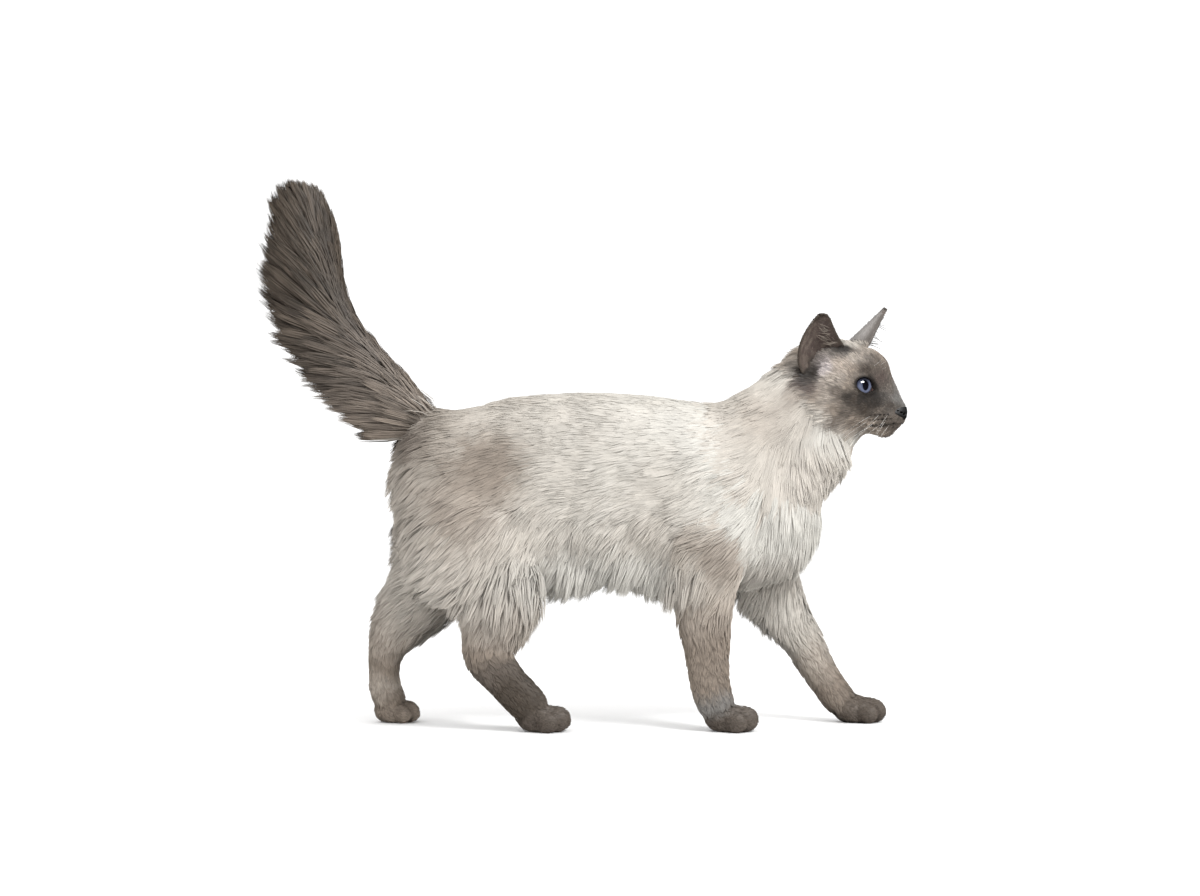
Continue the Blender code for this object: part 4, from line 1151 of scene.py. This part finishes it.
# The coat is tufts of hair over the hide. Each grows from a root on the hide, lies along the
# body and tapers to a tip, and neighbours draw together into locks. It is longest on the
# tail, ruff, belly and breeches, and shortest on the face and feet.
# At a place of the body, x and z: the lie as x and z, then length and lift.
BODY_LIE = (
    (-135, 262, -1.0, -0.30, 20, 0.10), (-90, 275, -1.0, -0.12, 20, 0.08),
    (-30, 282, -1.0, 0.00, 20, 0.07), (40, 282, -1.0, 0.02, 20, 0.07),
    (95, 280, -1.0, 0.05, 20, 0.08), (135, 285, -0.85, -0.45, 22, 0.10),
    (165, 300, -0.75, -0.65, 20, 0.07), (185, 325, -0.75, -0.65, 16, 0.06),
    (190, 285, -0.80, -0.50, 20, 0.12), (165, 262, -0.85, -0.50, 24, 0.10),
    (135, 240, -0.95, -0.30, 24, 0.09), (195, 262, -0.25, -0.95, 24, 0.14),
    (168, 239, -0.30, -0.95, 27, 0.11), (196, 240, 0.30, -0.95, 27, 0.14),
    (214, 242, 0.40, -0.90, 25, 0.28), (208, 222, 0.20, -1.00, 26, 0.25),
    (200, 185, 0.00, -1.00, 24, 0.06), (190, 155, -0.10, -1.00, 26, 0.08),
    (175, 125, -0.25, -0.95, 20, 0.12), (180, 222, 0.20, -0.98, 32, 0.14),
    (168, 195, -0.15, -0.98, 30, 0.12), (130, 205, -0.90, -0.45, 26, 0.09),
    (110, 175, -0.90, -0.40, 24, 0.09), (125, 145, -0.70, -0.70, 22, 0.10),
    (75, 245, -1.0, -0.08, 22, 0.07), (70, 205, -0.98, -0.18, 23, 0.08),
    (65, 165, -0.55, -0.84, 24, 0.10), (50, 132, -0.15, -0.98, 38, 1.40),
    (78, 130, -0.10, -0.99, 34, 1.10), (80, 112, -0.40, -0.92, 14, 0.16),
    (0, 245, -1.0, -0.06, 22, 0.07), (0, 205, -0.98, -0.20, 23, 0.08),
    (0, 162, -0.40, -0.92, 25, 0.12), (0, 130, -0.15, -0.98, 38, 1.50),
    (-60, 245, -0.98, -0.18, 22, 0.08), (-55, 205, -0.88, -0.45, 23, 0.09),
    (-50, 162, -0.50, -0.86, 25, 0.12), (-50, 126, -0.20, -0.97, 34, 1.30),
    (-105, 235, -0.95, -0.32, 22, 0.10), (-110, 200, -0.78, -0.62, 24, 0.12),
    (-100, 160, -0.68, -0.73, 24, 0.13), (-148, 205, -0.72, -0.69, 28, 0.42),
    (-146, 170, -0.80, -0.60, 32, 0.50), (-140, 140, -0.84, -0.54, 28, 0.50),
)
# The same at a place of the head, in its own frame: x, y, z, then length and lift. Hair there
# grows back from the nose.
HEAD_COAT = (
    (58, 0, -20, 1.2, 0.08), (48, 0, -4, 2.0, 0.08), (50, 9, -24, 2.2, 0.14),
    (44, 14, -34, 3.0, 0.14), (38, 10, 4, 2.2, 0.10), (34, 24, -4, 1.8, 0.10),
    (34, 20, 8, 2.4, 0.14), (26, 28, -14, 3.5, 0.12), (28, 14, 24, 4.5, 0.14),
    (18, 0, 36, 6.0, 0.16), (-5, 0, 42, 9.0, 0.16), (10, 30, 18, 5.5, 0.14),
    (0, 34, 4, 6.5, 0.14), (12, 34, -14, 6.5, 0.14), (20, 28, -34, 8.0, 0.18),
    (5, 20, -48, 20.0, 0.35), (0, 34, -32, 14.0, 0.22), (-22, 30, -20, 18.0, 0.20),
    (-28, 28, 12, 14.0, 0.18), (-34, 0, 26, 14.0, 0.16), (48, 0, -43, 3.0, 0.16),
    (34, 0, -46, 6.0, 0.18), (10, 0, -46, 14.0, 0.24),
)
SHANK_LIFT = 0.4
LEG_FROM_BODY = (0.22, 0.5)  # where along a leg its own lie takes over from the body's
LEG_TO_PAW = (0.88, 0.96)  # and where that turns forward over the toes
LEG_LENGTHS = ((0.3, 17), (0.45, 12), (0.55, 8.5), (0.7, 6.5), (0.86, 5), (0.93, 3.6), (1, 3))
TAIL_LENGTHS = ((0, 28), (0.15, 46), (0.6, 50), (0.85, 42), (1, 24))
TAIL_SWEEP = ((0, 58), (0.5, 44), (0.85, 26), (1, 6))  # degrees back from the tail's own way
# How many tufts each limb has, the half width of one at its widest, and how many rings.
TUFTS = {
    "torso": (46000, 0.55, 2),
    "neck": (13000, 0.6, 3),
    "tail": (15000, 0.46, 3),
    "fore_right": (10000, 0.5, 2),
    "fore_left": (10000, 0.5, 2),
    "hind_right": (13500, 0.5, 2),
    "hind_left": (13500, 0.5, 2),
    "head": (38000, 0.33, 1),
    "ear_right": (3500, 0.3, 1),
    "ear_left": (3500, 0.3, 1),
}
TAIL_FRONT = 0.62  # how long its hair is in front, for the rear's at 1
TAIL_LIFT = (0.42, 0.48)  # in front, and how much more behind
EAR_PILE = 2.6
EAR_LIFT = 0.08
LIE_STRAY = 0.13
LOCK_OPEN = 0.3  # how far apart the tips of a lock stay, for their roots at 1
MUZZLE_END = (62, 0, -22)  # the head's hair lies away from here
TUFT_SINK = 0.6
NO_ROOTS_BELOW = 1.2
THINNED = 1
draw = np.random.default_rng(11)


def unit(ways):
    return ways / np.maximum(np.linalg.norm(ways, axis=1), 1e-9)[:, None]


uncut.calc_loop_triangles()
corners = array_of(uncut.loop_triangles, "vertices", 3)
hide_points = array_of(uncut.vertices, "co", 3) / MM
hide_normals = array_of(uncut.vertices, "normal", 3)
face_middles = hide_points[corners].mean(axis=1)
edge_a = hide_points[corners[:, 1]] - hide_points[corners[:, 0]]
edge_b = hide_points[corners[:, 2]] - hide_points[corners[:, 0]]
areas = np.linalg.norm(np.cross(edge_a, edge_b), axis=1) / 2
face_limb, face_t, _ = sorted_to_limbs(face_middles)


def in_opening(places):
    """Whether a place of the head is between the lids or lips or under the nose leather."""
    inside = into_head(places)
    nose = (inside - np.array(NOSE_CENTRE)) / (np.array(NOSE_REACH) + 0.2)
    nose[:, 1] /= 1 - NOSE_NARROW * np.clip(-nose[:, 2], 0, 1)
    covered = np.linalg.norm(nose, axis=1) < 1
    lips = into_head(np.array(mouth_line) / MM)
    return covered | (outside_lids(folded(inside)) < 0.6) | (gap_to(inside, lips) < 0.8)


def read_along(t, stops):
    """The value at each t of a row of stops, each a place and a value."""
    return np.interp(t, *zip(*stops))


def scattered(name):
    """Roots spread over a limb's hide, more where its hair is short, with their normals."""
    count = TUFTS[name][0] // THINNED
    here = np.flatnonzero(face_limb == LIMB_NAMES.index(name))
    weight = areas[here]
    if name == "head":
        length = nearest_rows(folded(into_head(face_middles[here])), HEAD_COAT, 3)[:, 0]
        weight = weight * (6 / (length + 1.5))
    if name.startswith(("fore", "hind")):
        weight = weight * (12 / (read_along(face_t[here], LEG_LENGTHS) + 3))
    chosen = draw.choice(here, count, p=weight / weight.sum())
    a, b = draw.random(count), draw.random(count)
    over = a + b > 1
    a[over], b[over] = 1 - a[over], 1 - b[over]
    a, b = a[:, None], b[:, None]
    p, q, r = (hide_points[corners[chosen, k]] for k in range(3))
    m, n, o = (hide_normals[corners[chosen, k]] for k in range(3))
    roots = p + (q - p) * a + (r - p) * b
    normals = unit(m + (n - m) * a + (o - m) * b)
    kept = ~in_opening(roots) & (roots[:, 2] > NO_ROOTS_BELOW)
    return roots[kept], normals[kept]


def combed(name, roots, normals, t, turn):
    """For each root the way its hair lies on the hide, its length and its lift."""
    body = nearest_rows(roots[:, [0, 2]], BODY_LIE, 2)
    lie = np.column_stack((body[:, 0], np.zeros(len(roots)), body[:, 1]))
    length, lift = body[:, 2].copy(), body[:, 3].copy()
    if name in LIMBS:
        axis = LIMB_AXES[LIMB_NAMES.index(name)]
        ahead = axis[(t * (AXIS_STEPS - 1)).round().astype(int), 3:6]
    if name.startswith(("fore", "hind")):
        share = smooth_step(t, *LEG_FROM_BODY)
        over_toes = smooth_step(t, *LEG_TO_PAW)[:, None]
        down = ahead * (1 - over_toes) + np.array((1, 0, -0.3)) * over_toes
        lie = lie * (1 - share)[:, None] + down * share[:, None]
        length = length * (1 - share) + read_along(t, LEG_LENGTHS) * share
        lift = lift * (1 - share) + SHANK_LIFT * share * (1 - over_toes[:, 0])
    if name == "tail":
        behind = (np.cos(turn) + 1) / 2
        length = read_along(t, TAIL_LENGTHS) * (TAIL_FRONT + (1 - TAIL_FRONT) * behind)
        sweep = np.radians(read_along(t, TAIL_SWEEP)) * (0.05 + 0.95 * behind)
        rear = np.column_stack((-ahead[:, 2], np.zeros(len(t)), ahead[:, 0]))
        lie = ahead * np.cos(sweep)[:, None] + rear * np.sin(sweep)[:, None]
        lift = TAIL_LIFT[0] + TAIL_LIFT[1] * behind
    if name == "head":
        inside = into_head(roots)
        length, lift = nearest_rows(folded(inside), HEAD_COAT, 3).T
        away = (inside - np.array(MUZZLE_END)) @ head_turn.T
        away[:, 2] -= 6 * smooth_step(-inside[:, 0], -10, 40)
        back = smooth_step(-inside[:, 0], 0, 30)[:, None]
        lie = unit(away) * (1 - 0.5 * back) + lie * 0.5 * back
    if name in EARS:
        lie = np.tile(head_turn @ np.array(ear_axes(name)[2]), (len(roots), 1))
        length = EAR_PILE * np.interp(t, (0.8, 1), (1, 0.4))
        lift = np.full(len(roots), EAR_LIFT)
    lie = unit(lie)
    lie += LIE_STRAY * ripples(roots, 34, (21, 22, 23))
    flat = unit(lie - normals * (lie * normals).sum(axis=1)[:, None])
    return unit(lie), flat, length, lift


def drawn_together(roots, tips, every, pull):
    """Tips moved toward the tip of the nearest leading tuft, so that hair gathers in locks."""
    leaders = np.arange(0, len(roots), every)
    tree = KDTree(len(leaders))
    for i in leaders:
        tree.insert(roots[i], int(i))
    tree.balance()
    leader = np.array([tree.find(root)[1] for root in roots])
    goal = tips[leader] + (roots - roots[leader]) * LOCK_OPEN
    return tips + (goal - tips) * pull[:, None], leader


CLEAR = 0.9  # how high over the hide a tip stays


def above_hide(roots, ways, tips, normals):
    """Ways and tips with hair that would run into a rising part of the hide lifted over it."""
    lifted = tips.copy()
    for i, tip in enumerate(tips * MM):
        place, normal, _, _ = hide_tree.find_nearest(Vector(tip))
        sunk = CLEAR * MM - (Vector(tip) - place).dot(normal)
        if sunk > 0:
            lifted[i] += np.array(normal * sunk) / MM
    length = np.linalg.norm(tips - roots, axis=1)[:, None]
    rise = lifted - tips
    over = normals * np.linalg.norm(rise, axis=1)[:, None]
    return unit(ways + rise / length + over / length), lifted


TUFT_DEPTH = 0.7  # of its half width
PATCH = 0.0015  # half of a tuft's own patch in its UV map
SIDE_SHADE = 0.45  # how far a tuft's sides turn from the hide's own normal
HANGING = 0.8  # how far hair that hangs from the underside is turned to the side for its shading
TO_SIDE = 0.35  # how far all hair is turned to its own side of the cat for its shading
SPINE = 14  # how far from the middle plane the two sides are fully told apart
FLOOR_GAP = 0.2


def tuft_mesh(name, roots, normals, ways, tips, half_width, levels, shades, patches):
    """Three-sided tapered tufts as one mesh. Each bends from its way at the root to its tip."""
    count = len(roots)
    across = unit(np.cross(ways, normals))
    length = np.linalg.norm(tips - roots, axis=1)[:, None]
    bend = tips - roots - ways * length
    rings = len(levels)
    size = rings * 3 + 1  # how many points a tuft has, its tip the last
    points = np.zeros((count, size, 3))
    colours = np.zeros((count, size, 3))
    for k, (s, wide) in enumerate(levels):
        middle = roots + ways * length * s + bend * s * s
        half = half_width[:, None] * wide
        points[:, 3 * k] = middle + across * half
        points[:, 3 * k + 1] = middle - across * half
        points[:, 3 * k + 2] = middle + normals * half * TUFT_DEPTH
        colours[:, 3 * k : 3 * k + 3] = (shades[0] + (shades[1] - shades[0]) * s)[:, None, :]
    points[:, -1] = tips
    colours[:, -1] = shades[1]
    points[:, :, 2] = np.maximum(points[:, :, 2], FLOOR_GAP)
    faces = [(0, 2, 1)]
    for k in range(rings - 1):
        for a, b in ((2, 0), (1, 2), (0, 1)):
            low, high = 3 * k, 3 * k + 3
            faces += [(low + a, low + b, high + b), (low + a, high + b, high + a)]
    last = 3 * (rings - 1)
    faces += [(last + a, last + b, rings * 3) for a, b in ((2, 0), (1, 2), (0, 1))]
    faces = np.array(faces)
    index = (faces[None] + (np.arange(count) * size)[:, None, None]).reshape(-1, 3)
    mesh = bpy.data.meshes.new(name)
    mesh.vertices.add(count * size)
    mesh.loops.add(len(index) * 3)
    mesh.polygons.add(len(index))
    mesh.vertices.foreach_set("co", (points * MM).astype(np.float32).ravel())
    mesh.loops.foreach_set("vertex_index", index.astype(np.int32).ravel())
    mesh.polygons.foreach_set("loop_start", np.arange(0, len(index) * 3, 3, dtype=np.int32))
    mesh.polygons.foreach_set("use_smooth", np.ones(len(index), bool))
    mesh.update(calc_edges=True)
    paint(mesh, colours.reshape(-1, 3))
    corner = np.array([(math.cos(a), math.sin(a)) for a in np.arange(size) * 2.4]) * PATCH
    uv = (patches[:, None, :] + corner[None]).reshape(-1, 2)[index.ravel()]
    hidden = np.isin(faces, (0, 1, 3, 4, 6, 7, rings * 3)).all(axis=1) | (faces < 3).all(axis=1)
    out = np.where(hidden[:, None], -1.0, 1.0) * np.ones(faces.shape)
    aside = np.where(faces == rings * 3, 0, np.array((1.0, -1.0, 0.0))[faces % 3]) * SIDE_SHADE
    hanging = np.maximum(-normals[:, 2], 0) * HANGING
    own_side = np.clip(roots[:, 1] / SPINE, -1, 1)
    lit = normals + np.column_stack((hanging * 0, hanging * own_side, hanging * 1.2))
    facing = unit(lit)[:, None] * out.ravel()[:, None] + across[:, None] * aside.ravel()[:, None]
    facing[:, :, 1] += TO_SIDE * own_side[:, None]
    mesh.normals_split_custom_set(unit(facing.reshape(-1, 3)).astype(np.float32))
    mesh.uv_layers.new(name="OFBake").data.foreach_set("uv", uv.astype(np.float32).ravel())
    made = bpy.data.objects.new(name, mesh)
    bpy.context.scene.collection.objects.link(made)
    return made


PANELS = (5, 2)  # of the unwrap, across and up
PANEL_EDGE = 0.03


def unwrapped(number, t, turn):
    """Where a root lies on the hide's own unwrap: a panel for each limb, along and round."""
    panel = np.array((number % PANELS[0], number // PANELS[0]))
    inside = np.column_stack((t, (turn / math.pi + 1) / 2))
    return (panel + PANEL_EDGE + (1 - 2 * PANEL_EDGE) * inside) / PANELS


def coat_material():
    """Soft hair: the tuft's own colour with a low sheen."""
    material, shader, tree = shader_of("coat_hair", 0.6, 0.2)
    colour = streaked(tree, fine_noise(tree, 260), 0.94, 1.06)
    tree.links.new(colour, shader.inputs["Base Color"])
    return material


# Where a tuft has its rings along its length and how wide each is, for one to three rings.
LEVELS = {1: ((0, 1.0),), 2: ((0, 0.8), (0.5, 1.0)), 3: ((0, 0.7), (0.4, 1.0), (0.75, 0.7))}
# How unlike its neighbours a tuft is in tone, and how unlike theirs its whole lock is.
TONES = {"torso": (0.05, 0.05), "neck": (0.04, 0.05), "tail": (0.16, 0.19), "head": (0.2, 0.22)}
ROOT_TO_TIP = {"head": (0.66, 1.16), "tail": (0.7, 1.2)}
LOCK_SIZE = {"tail": 14, "head": 8}  # how many tufts draw together into one lock
MOST_TRIANGLES = 190000  # in one piece of the coat
LENGTHS_FROM_TO = (0.7, 1.15)  # how much tufts of one place differ
LIFTS_FROM_TO = (0.4, 1.6)
WIDTHS_FROM_TO = (0.75, 1.25)
TONES_FROM_TO = (0.6, 1.5)
ASTRAY = 0.05
DROOP = 0.3
GATHER = ((0.07, 0.25), (0.3, 0.68))  # how much tips draw together, for tufts low and raised
TIPS_ABOVE = 0.4
SEEN_AT = 0.55  # where along a tuft its place on the markings is
hair = coat_material()
for number, name in enumerate(LIMB_NAMES):
    roots, normals = scattered(name)
    limb, t, turn = sorted_to_limbs(roots)
    lie, flat, length, lift = combed(name, roots, normals, t, turn)
    count = len(roots)
    length = length * draw.uniform(*LENGTHS_FROM_TO, count)
    lift = lift * draw.uniform(*LIFTS_FROM_TO, count)
    ways = unit(flat + normals * lift[:, None] + draw.normal(0, ASTRAY, (count, 3)))
    droop = (flat - ways) * DROOP + (lie - ways) * DROOP
    tips = roots + (ways + droop) * length[:, None]
    gather = np.interp(lift, *GATHER)
    tips, leader = drawn_together(roots, tips, LOCK_SIZE.get(name, 20), gather)
    ways, tips = above_hide(roots, ways, tips, normals)
    tips[:, 2] = np.maximum(tips[:, 2], TIPS_ABOVE)
    own, locks = TONES.get(name, (0.08, 0.05))
    tone = 1 + draw.normal(0, own, count) + locks * draw.standard_normal(count)[leader]
    seen = roots + (tips - roots) * SEEN_AT
    colours = markings(seen, limb, t, turn) * np.clip(tone, *TONES_FROM_TO)[:, None]
    dark, light = ROOT_TO_TIP.get(name, (0.84, 1.04))
    shades = (colours * dark, colours * light)
    rings = TUFTS[name][2]
    half_width = TUFTS[name][1] * THINNED**0.5 * draw.uniform(*WIDTHS_FROM_TO, count)
    triangles = count * (6 * (rings - 1) + 4)
    pieces = math.ceil(triangles / MOST_TRIANGLES)
    for k, part in enumerate(np.array_split(np.argsort(t), pieces)):
        piece = tuft_mesh(
            f"coat_{name}_{k + 1}",
            roots[part] - normals[part] * TUFT_SINK,
            normals[part],
            ways[part],
            tips[part],
            half_width[part],
            LEVELS[rings],
            [shade[part] for shade in shades],
            unwrapped(number, t[part], turn[part]),
        )
        piece.data.materials.append(hair)
        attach(piece, "root")

# Long hair stands in the mouth of each ear, pale across the cup of the right one and dark past
# the edge of the left one, as a mesh of thin tufts like the coat's.
WISP_HALF_WIDTH = 0.22
WISP_ASTRAY = (0.14, 0.1)  # at its root and at its tip
WISP_PROUD = 0.4
# Wisps of an ear: the edge they stand by, their way inward, upward and outward, how many there
# are, their shortest and longest, and their colour.
WISPS = {
    "ear_right": (1, (-0.6, 0.65, 0.25), 34, (8, 15), "taupe"),
    "ear_left": (-1, (0.3, 0.1, 0.9), 26, (10, 17), "slate"),
}
for name, (edge, (inward, upward, outward), count, lengths, colour) in WISPS.items():
    _, across, up, out = ear_axes(name)
    u = edge * draw.uniform(0.45, 0.9, count)
    v = draw.uniform(0.0, 0.62, count)
    roots = np.array([ear_point(name, a, b, WISP_PROUD) for a, b in zip(u, v)]) / MM
    normals = np.tile(head_turn @ np.array(out), (count, 1))
    way = head_turn @ np.array(across * edge * inward + up * upward + out * outward)
    ways = unit(way + draw.normal(0, WISP_ASTRAY[0], (count, 3)))
    length = draw.uniform(*lengths, count)
    tips = roots + unit(ways + draw.normal(0, WISP_ASTRAY[1], (count, 3))) * length[:, None]
    tone = shade(colour) * draw.uniform(0.5, 0.9, count)[:, None]
    half_width = np.full(count, WISP_HALF_WIDTH)
    patches = unwrapped(LIMB_NAMES.index(name), v, u * EAR_EDGE_TURN)
    lights = (tone * 0.9, tone)
    hairs = (roots, normals, ways, tips, half_width, LEVELS[3], lights, patches)
    wisps = tuft_mesh(name + "_wisps", *hairs)
    wisps.data.materials.append(hair)
    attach(wisps, "root")

# The whiskers: long white bristles in rows on the whisker pads, swept back and down, and a
# few shorter ones over each eye.
WHISKER_LENGTH = 64
EVERY_WHISKER = 2  # only every second root carries a long one
WHISKER_THICKNESS = 0.075
WHISKER_SAG = 0.2  # of its length
BROW_ROOTS = ((36, 12, 15), (35, 14, 17), (33, 16, 15), (37, 11, 12))
BROW_LENGTH = 9
BROW_THICKNESS = 0.07
BROW_SAG = 1
BRISTLE_LENGTHS = (0.6, 1.1)  # how much they differ
whiskers = bmesh.new()
whisker_draw = np.random.default_rng(5)


def add_bristle(bm, root, way, length, thick, sag):
    """A tapered bristle of six sides that droops along its length."""
    made = bmesh.ops.create_uvsphere(bm, u_segments=6, v_segments=10, radius=1)
    across = way.cross(Vector((0, 0, 1))).normalized()
    rise = across.cross(way)
    for vert in made["verts"]:
        s = math.acos(max(-1.0, min(1.0, -vert.co.z))) / math.pi
        round_it = Vector((vert.co.x, vert.co.y, 0))
        round_it = round_it.normalized() if 0.01 < s < 0.99 else round_it * 0
        middle = root + way * length * s + Vector((0, 0, -1)) * sag * s * s
        half = thick * (1 - 0.85 * s)
        vert.co = (middle + across * round_it.x * half + rise * round_it.y * half) * MM


for root in whisker_roots()[::EVERY_WHISKER]:
    for side in (-1, 1):
        found = on_hide(mirrored(root, side)) / MM
        back = (50 - root.x) / 20
        way = Vector((-0.2 - 1.0 * back, side * 0.5, -0.7 + 0.15 * back))
        way += Vector(whisker_draw.normal(0, 0.06, 3))
        way = (head_place.to_3x3() @ way).normalized()
        length = WHISKER_LENGTH * (0.5 + 0.6 * back) * whisker_draw.uniform(*BRISTLE_LENGTHS)
        add_bristle(whiskers, found, way, length, WHISKER_THICKNESS, length * WHISKER_SAG)
for root in BROW_ROOTS:
    for side in (-1, 1):
        found = on_hide(mirrored(root, side)) / MM
        way = Vector((0.75, side * 0.3, 0.45)) + Vector(whisker_draw.normal(0, 0.1, 3))
        way = (head_place.to_3x3() @ way).normalized()
        length = BROW_LENGTH * whisker_draw.uniform(*BRISTLE_LENGTHS)
        add_bristle(whiskers, found, way, length, BROW_THICKNESS, BROW_SAG)
bmesh.ops.recalc_face_normals(whiskers, faces=whiskers.faces)
whiskers = object_from(whiskers, "whiskers")
horn = plain_material("whisker_white", (0.8, 0.78, 0.74), 0.4, 500, 0.00005)
whiskers.data.materials.append(horn)
whiskers.data.shade_smooth()
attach(whiskers, "root")

# The floor is plain and pale, in a white room. A soft lamp above and ahead, on the camera's
# side, models the coat, and a wide one beside it shows only in wet eyes and nose.
ROOM_LIGHT = 1.25
floor = bmesh.new()
bmesh.ops.create_circle(floor, cap_ends=True, segments=96, radius=5)
floor = object_from(floor, "floor")
pale, shader, _ = shader_of("pale_floor", 1.0, specular=0.0)
shader.inputs["Base Color"].default_value = (0.95, 0.95, 0.95, 1)
floor.data.materials.append(pale)
floor.visible_glossy = False
world = bpy.data.worlds.new("studio")
world.use_nodes = True
white_room = world.node_tree.nodes["Background"]
white_room.inputs["Color"].default_value = (1, 1, 1, 1)
white_room.inputs["Strength"].default_value = ROOM_LIGHT
world.cycles_visibility.glossy = False
bpy.context.scene.world = world
LIT_PLACE = Vector((0, 0, 290)) * MM
# A lamp: its place, its size and power, and whether it lights more than gloss.
LAMPS = {
    "lamp_ahead": ((740, -870, 1160), (0.34, 0.34), 13, True),
    "lamp_of_highlights": ((450, -930, 1200), (0.75, 0.45), 44, False),
}
for name, (place, size, power, lights_coat) in LAMPS.items():
    lamp_data = bpy.data.lights.new(name, "AREA")
    lamp_data.shape = "RECTANGLE"
    lamp_data.size, lamp_data.size_y = size
    lamp_data.energy = power
    lamp = bpy.data.objects.new(name, lamp_data)
    lamp.visible_diffuse = lights_coat
    lamp.location = Vector(place) * MM
    lamp.rotation_euler = (LIT_PLACE - lamp.location).to_track_quat("-Z", "Y").to_euler()
    bpy.context.scene.collection.objects.link(lamp)
bpy.context.scene.view_settings.view_transform = "Standard"
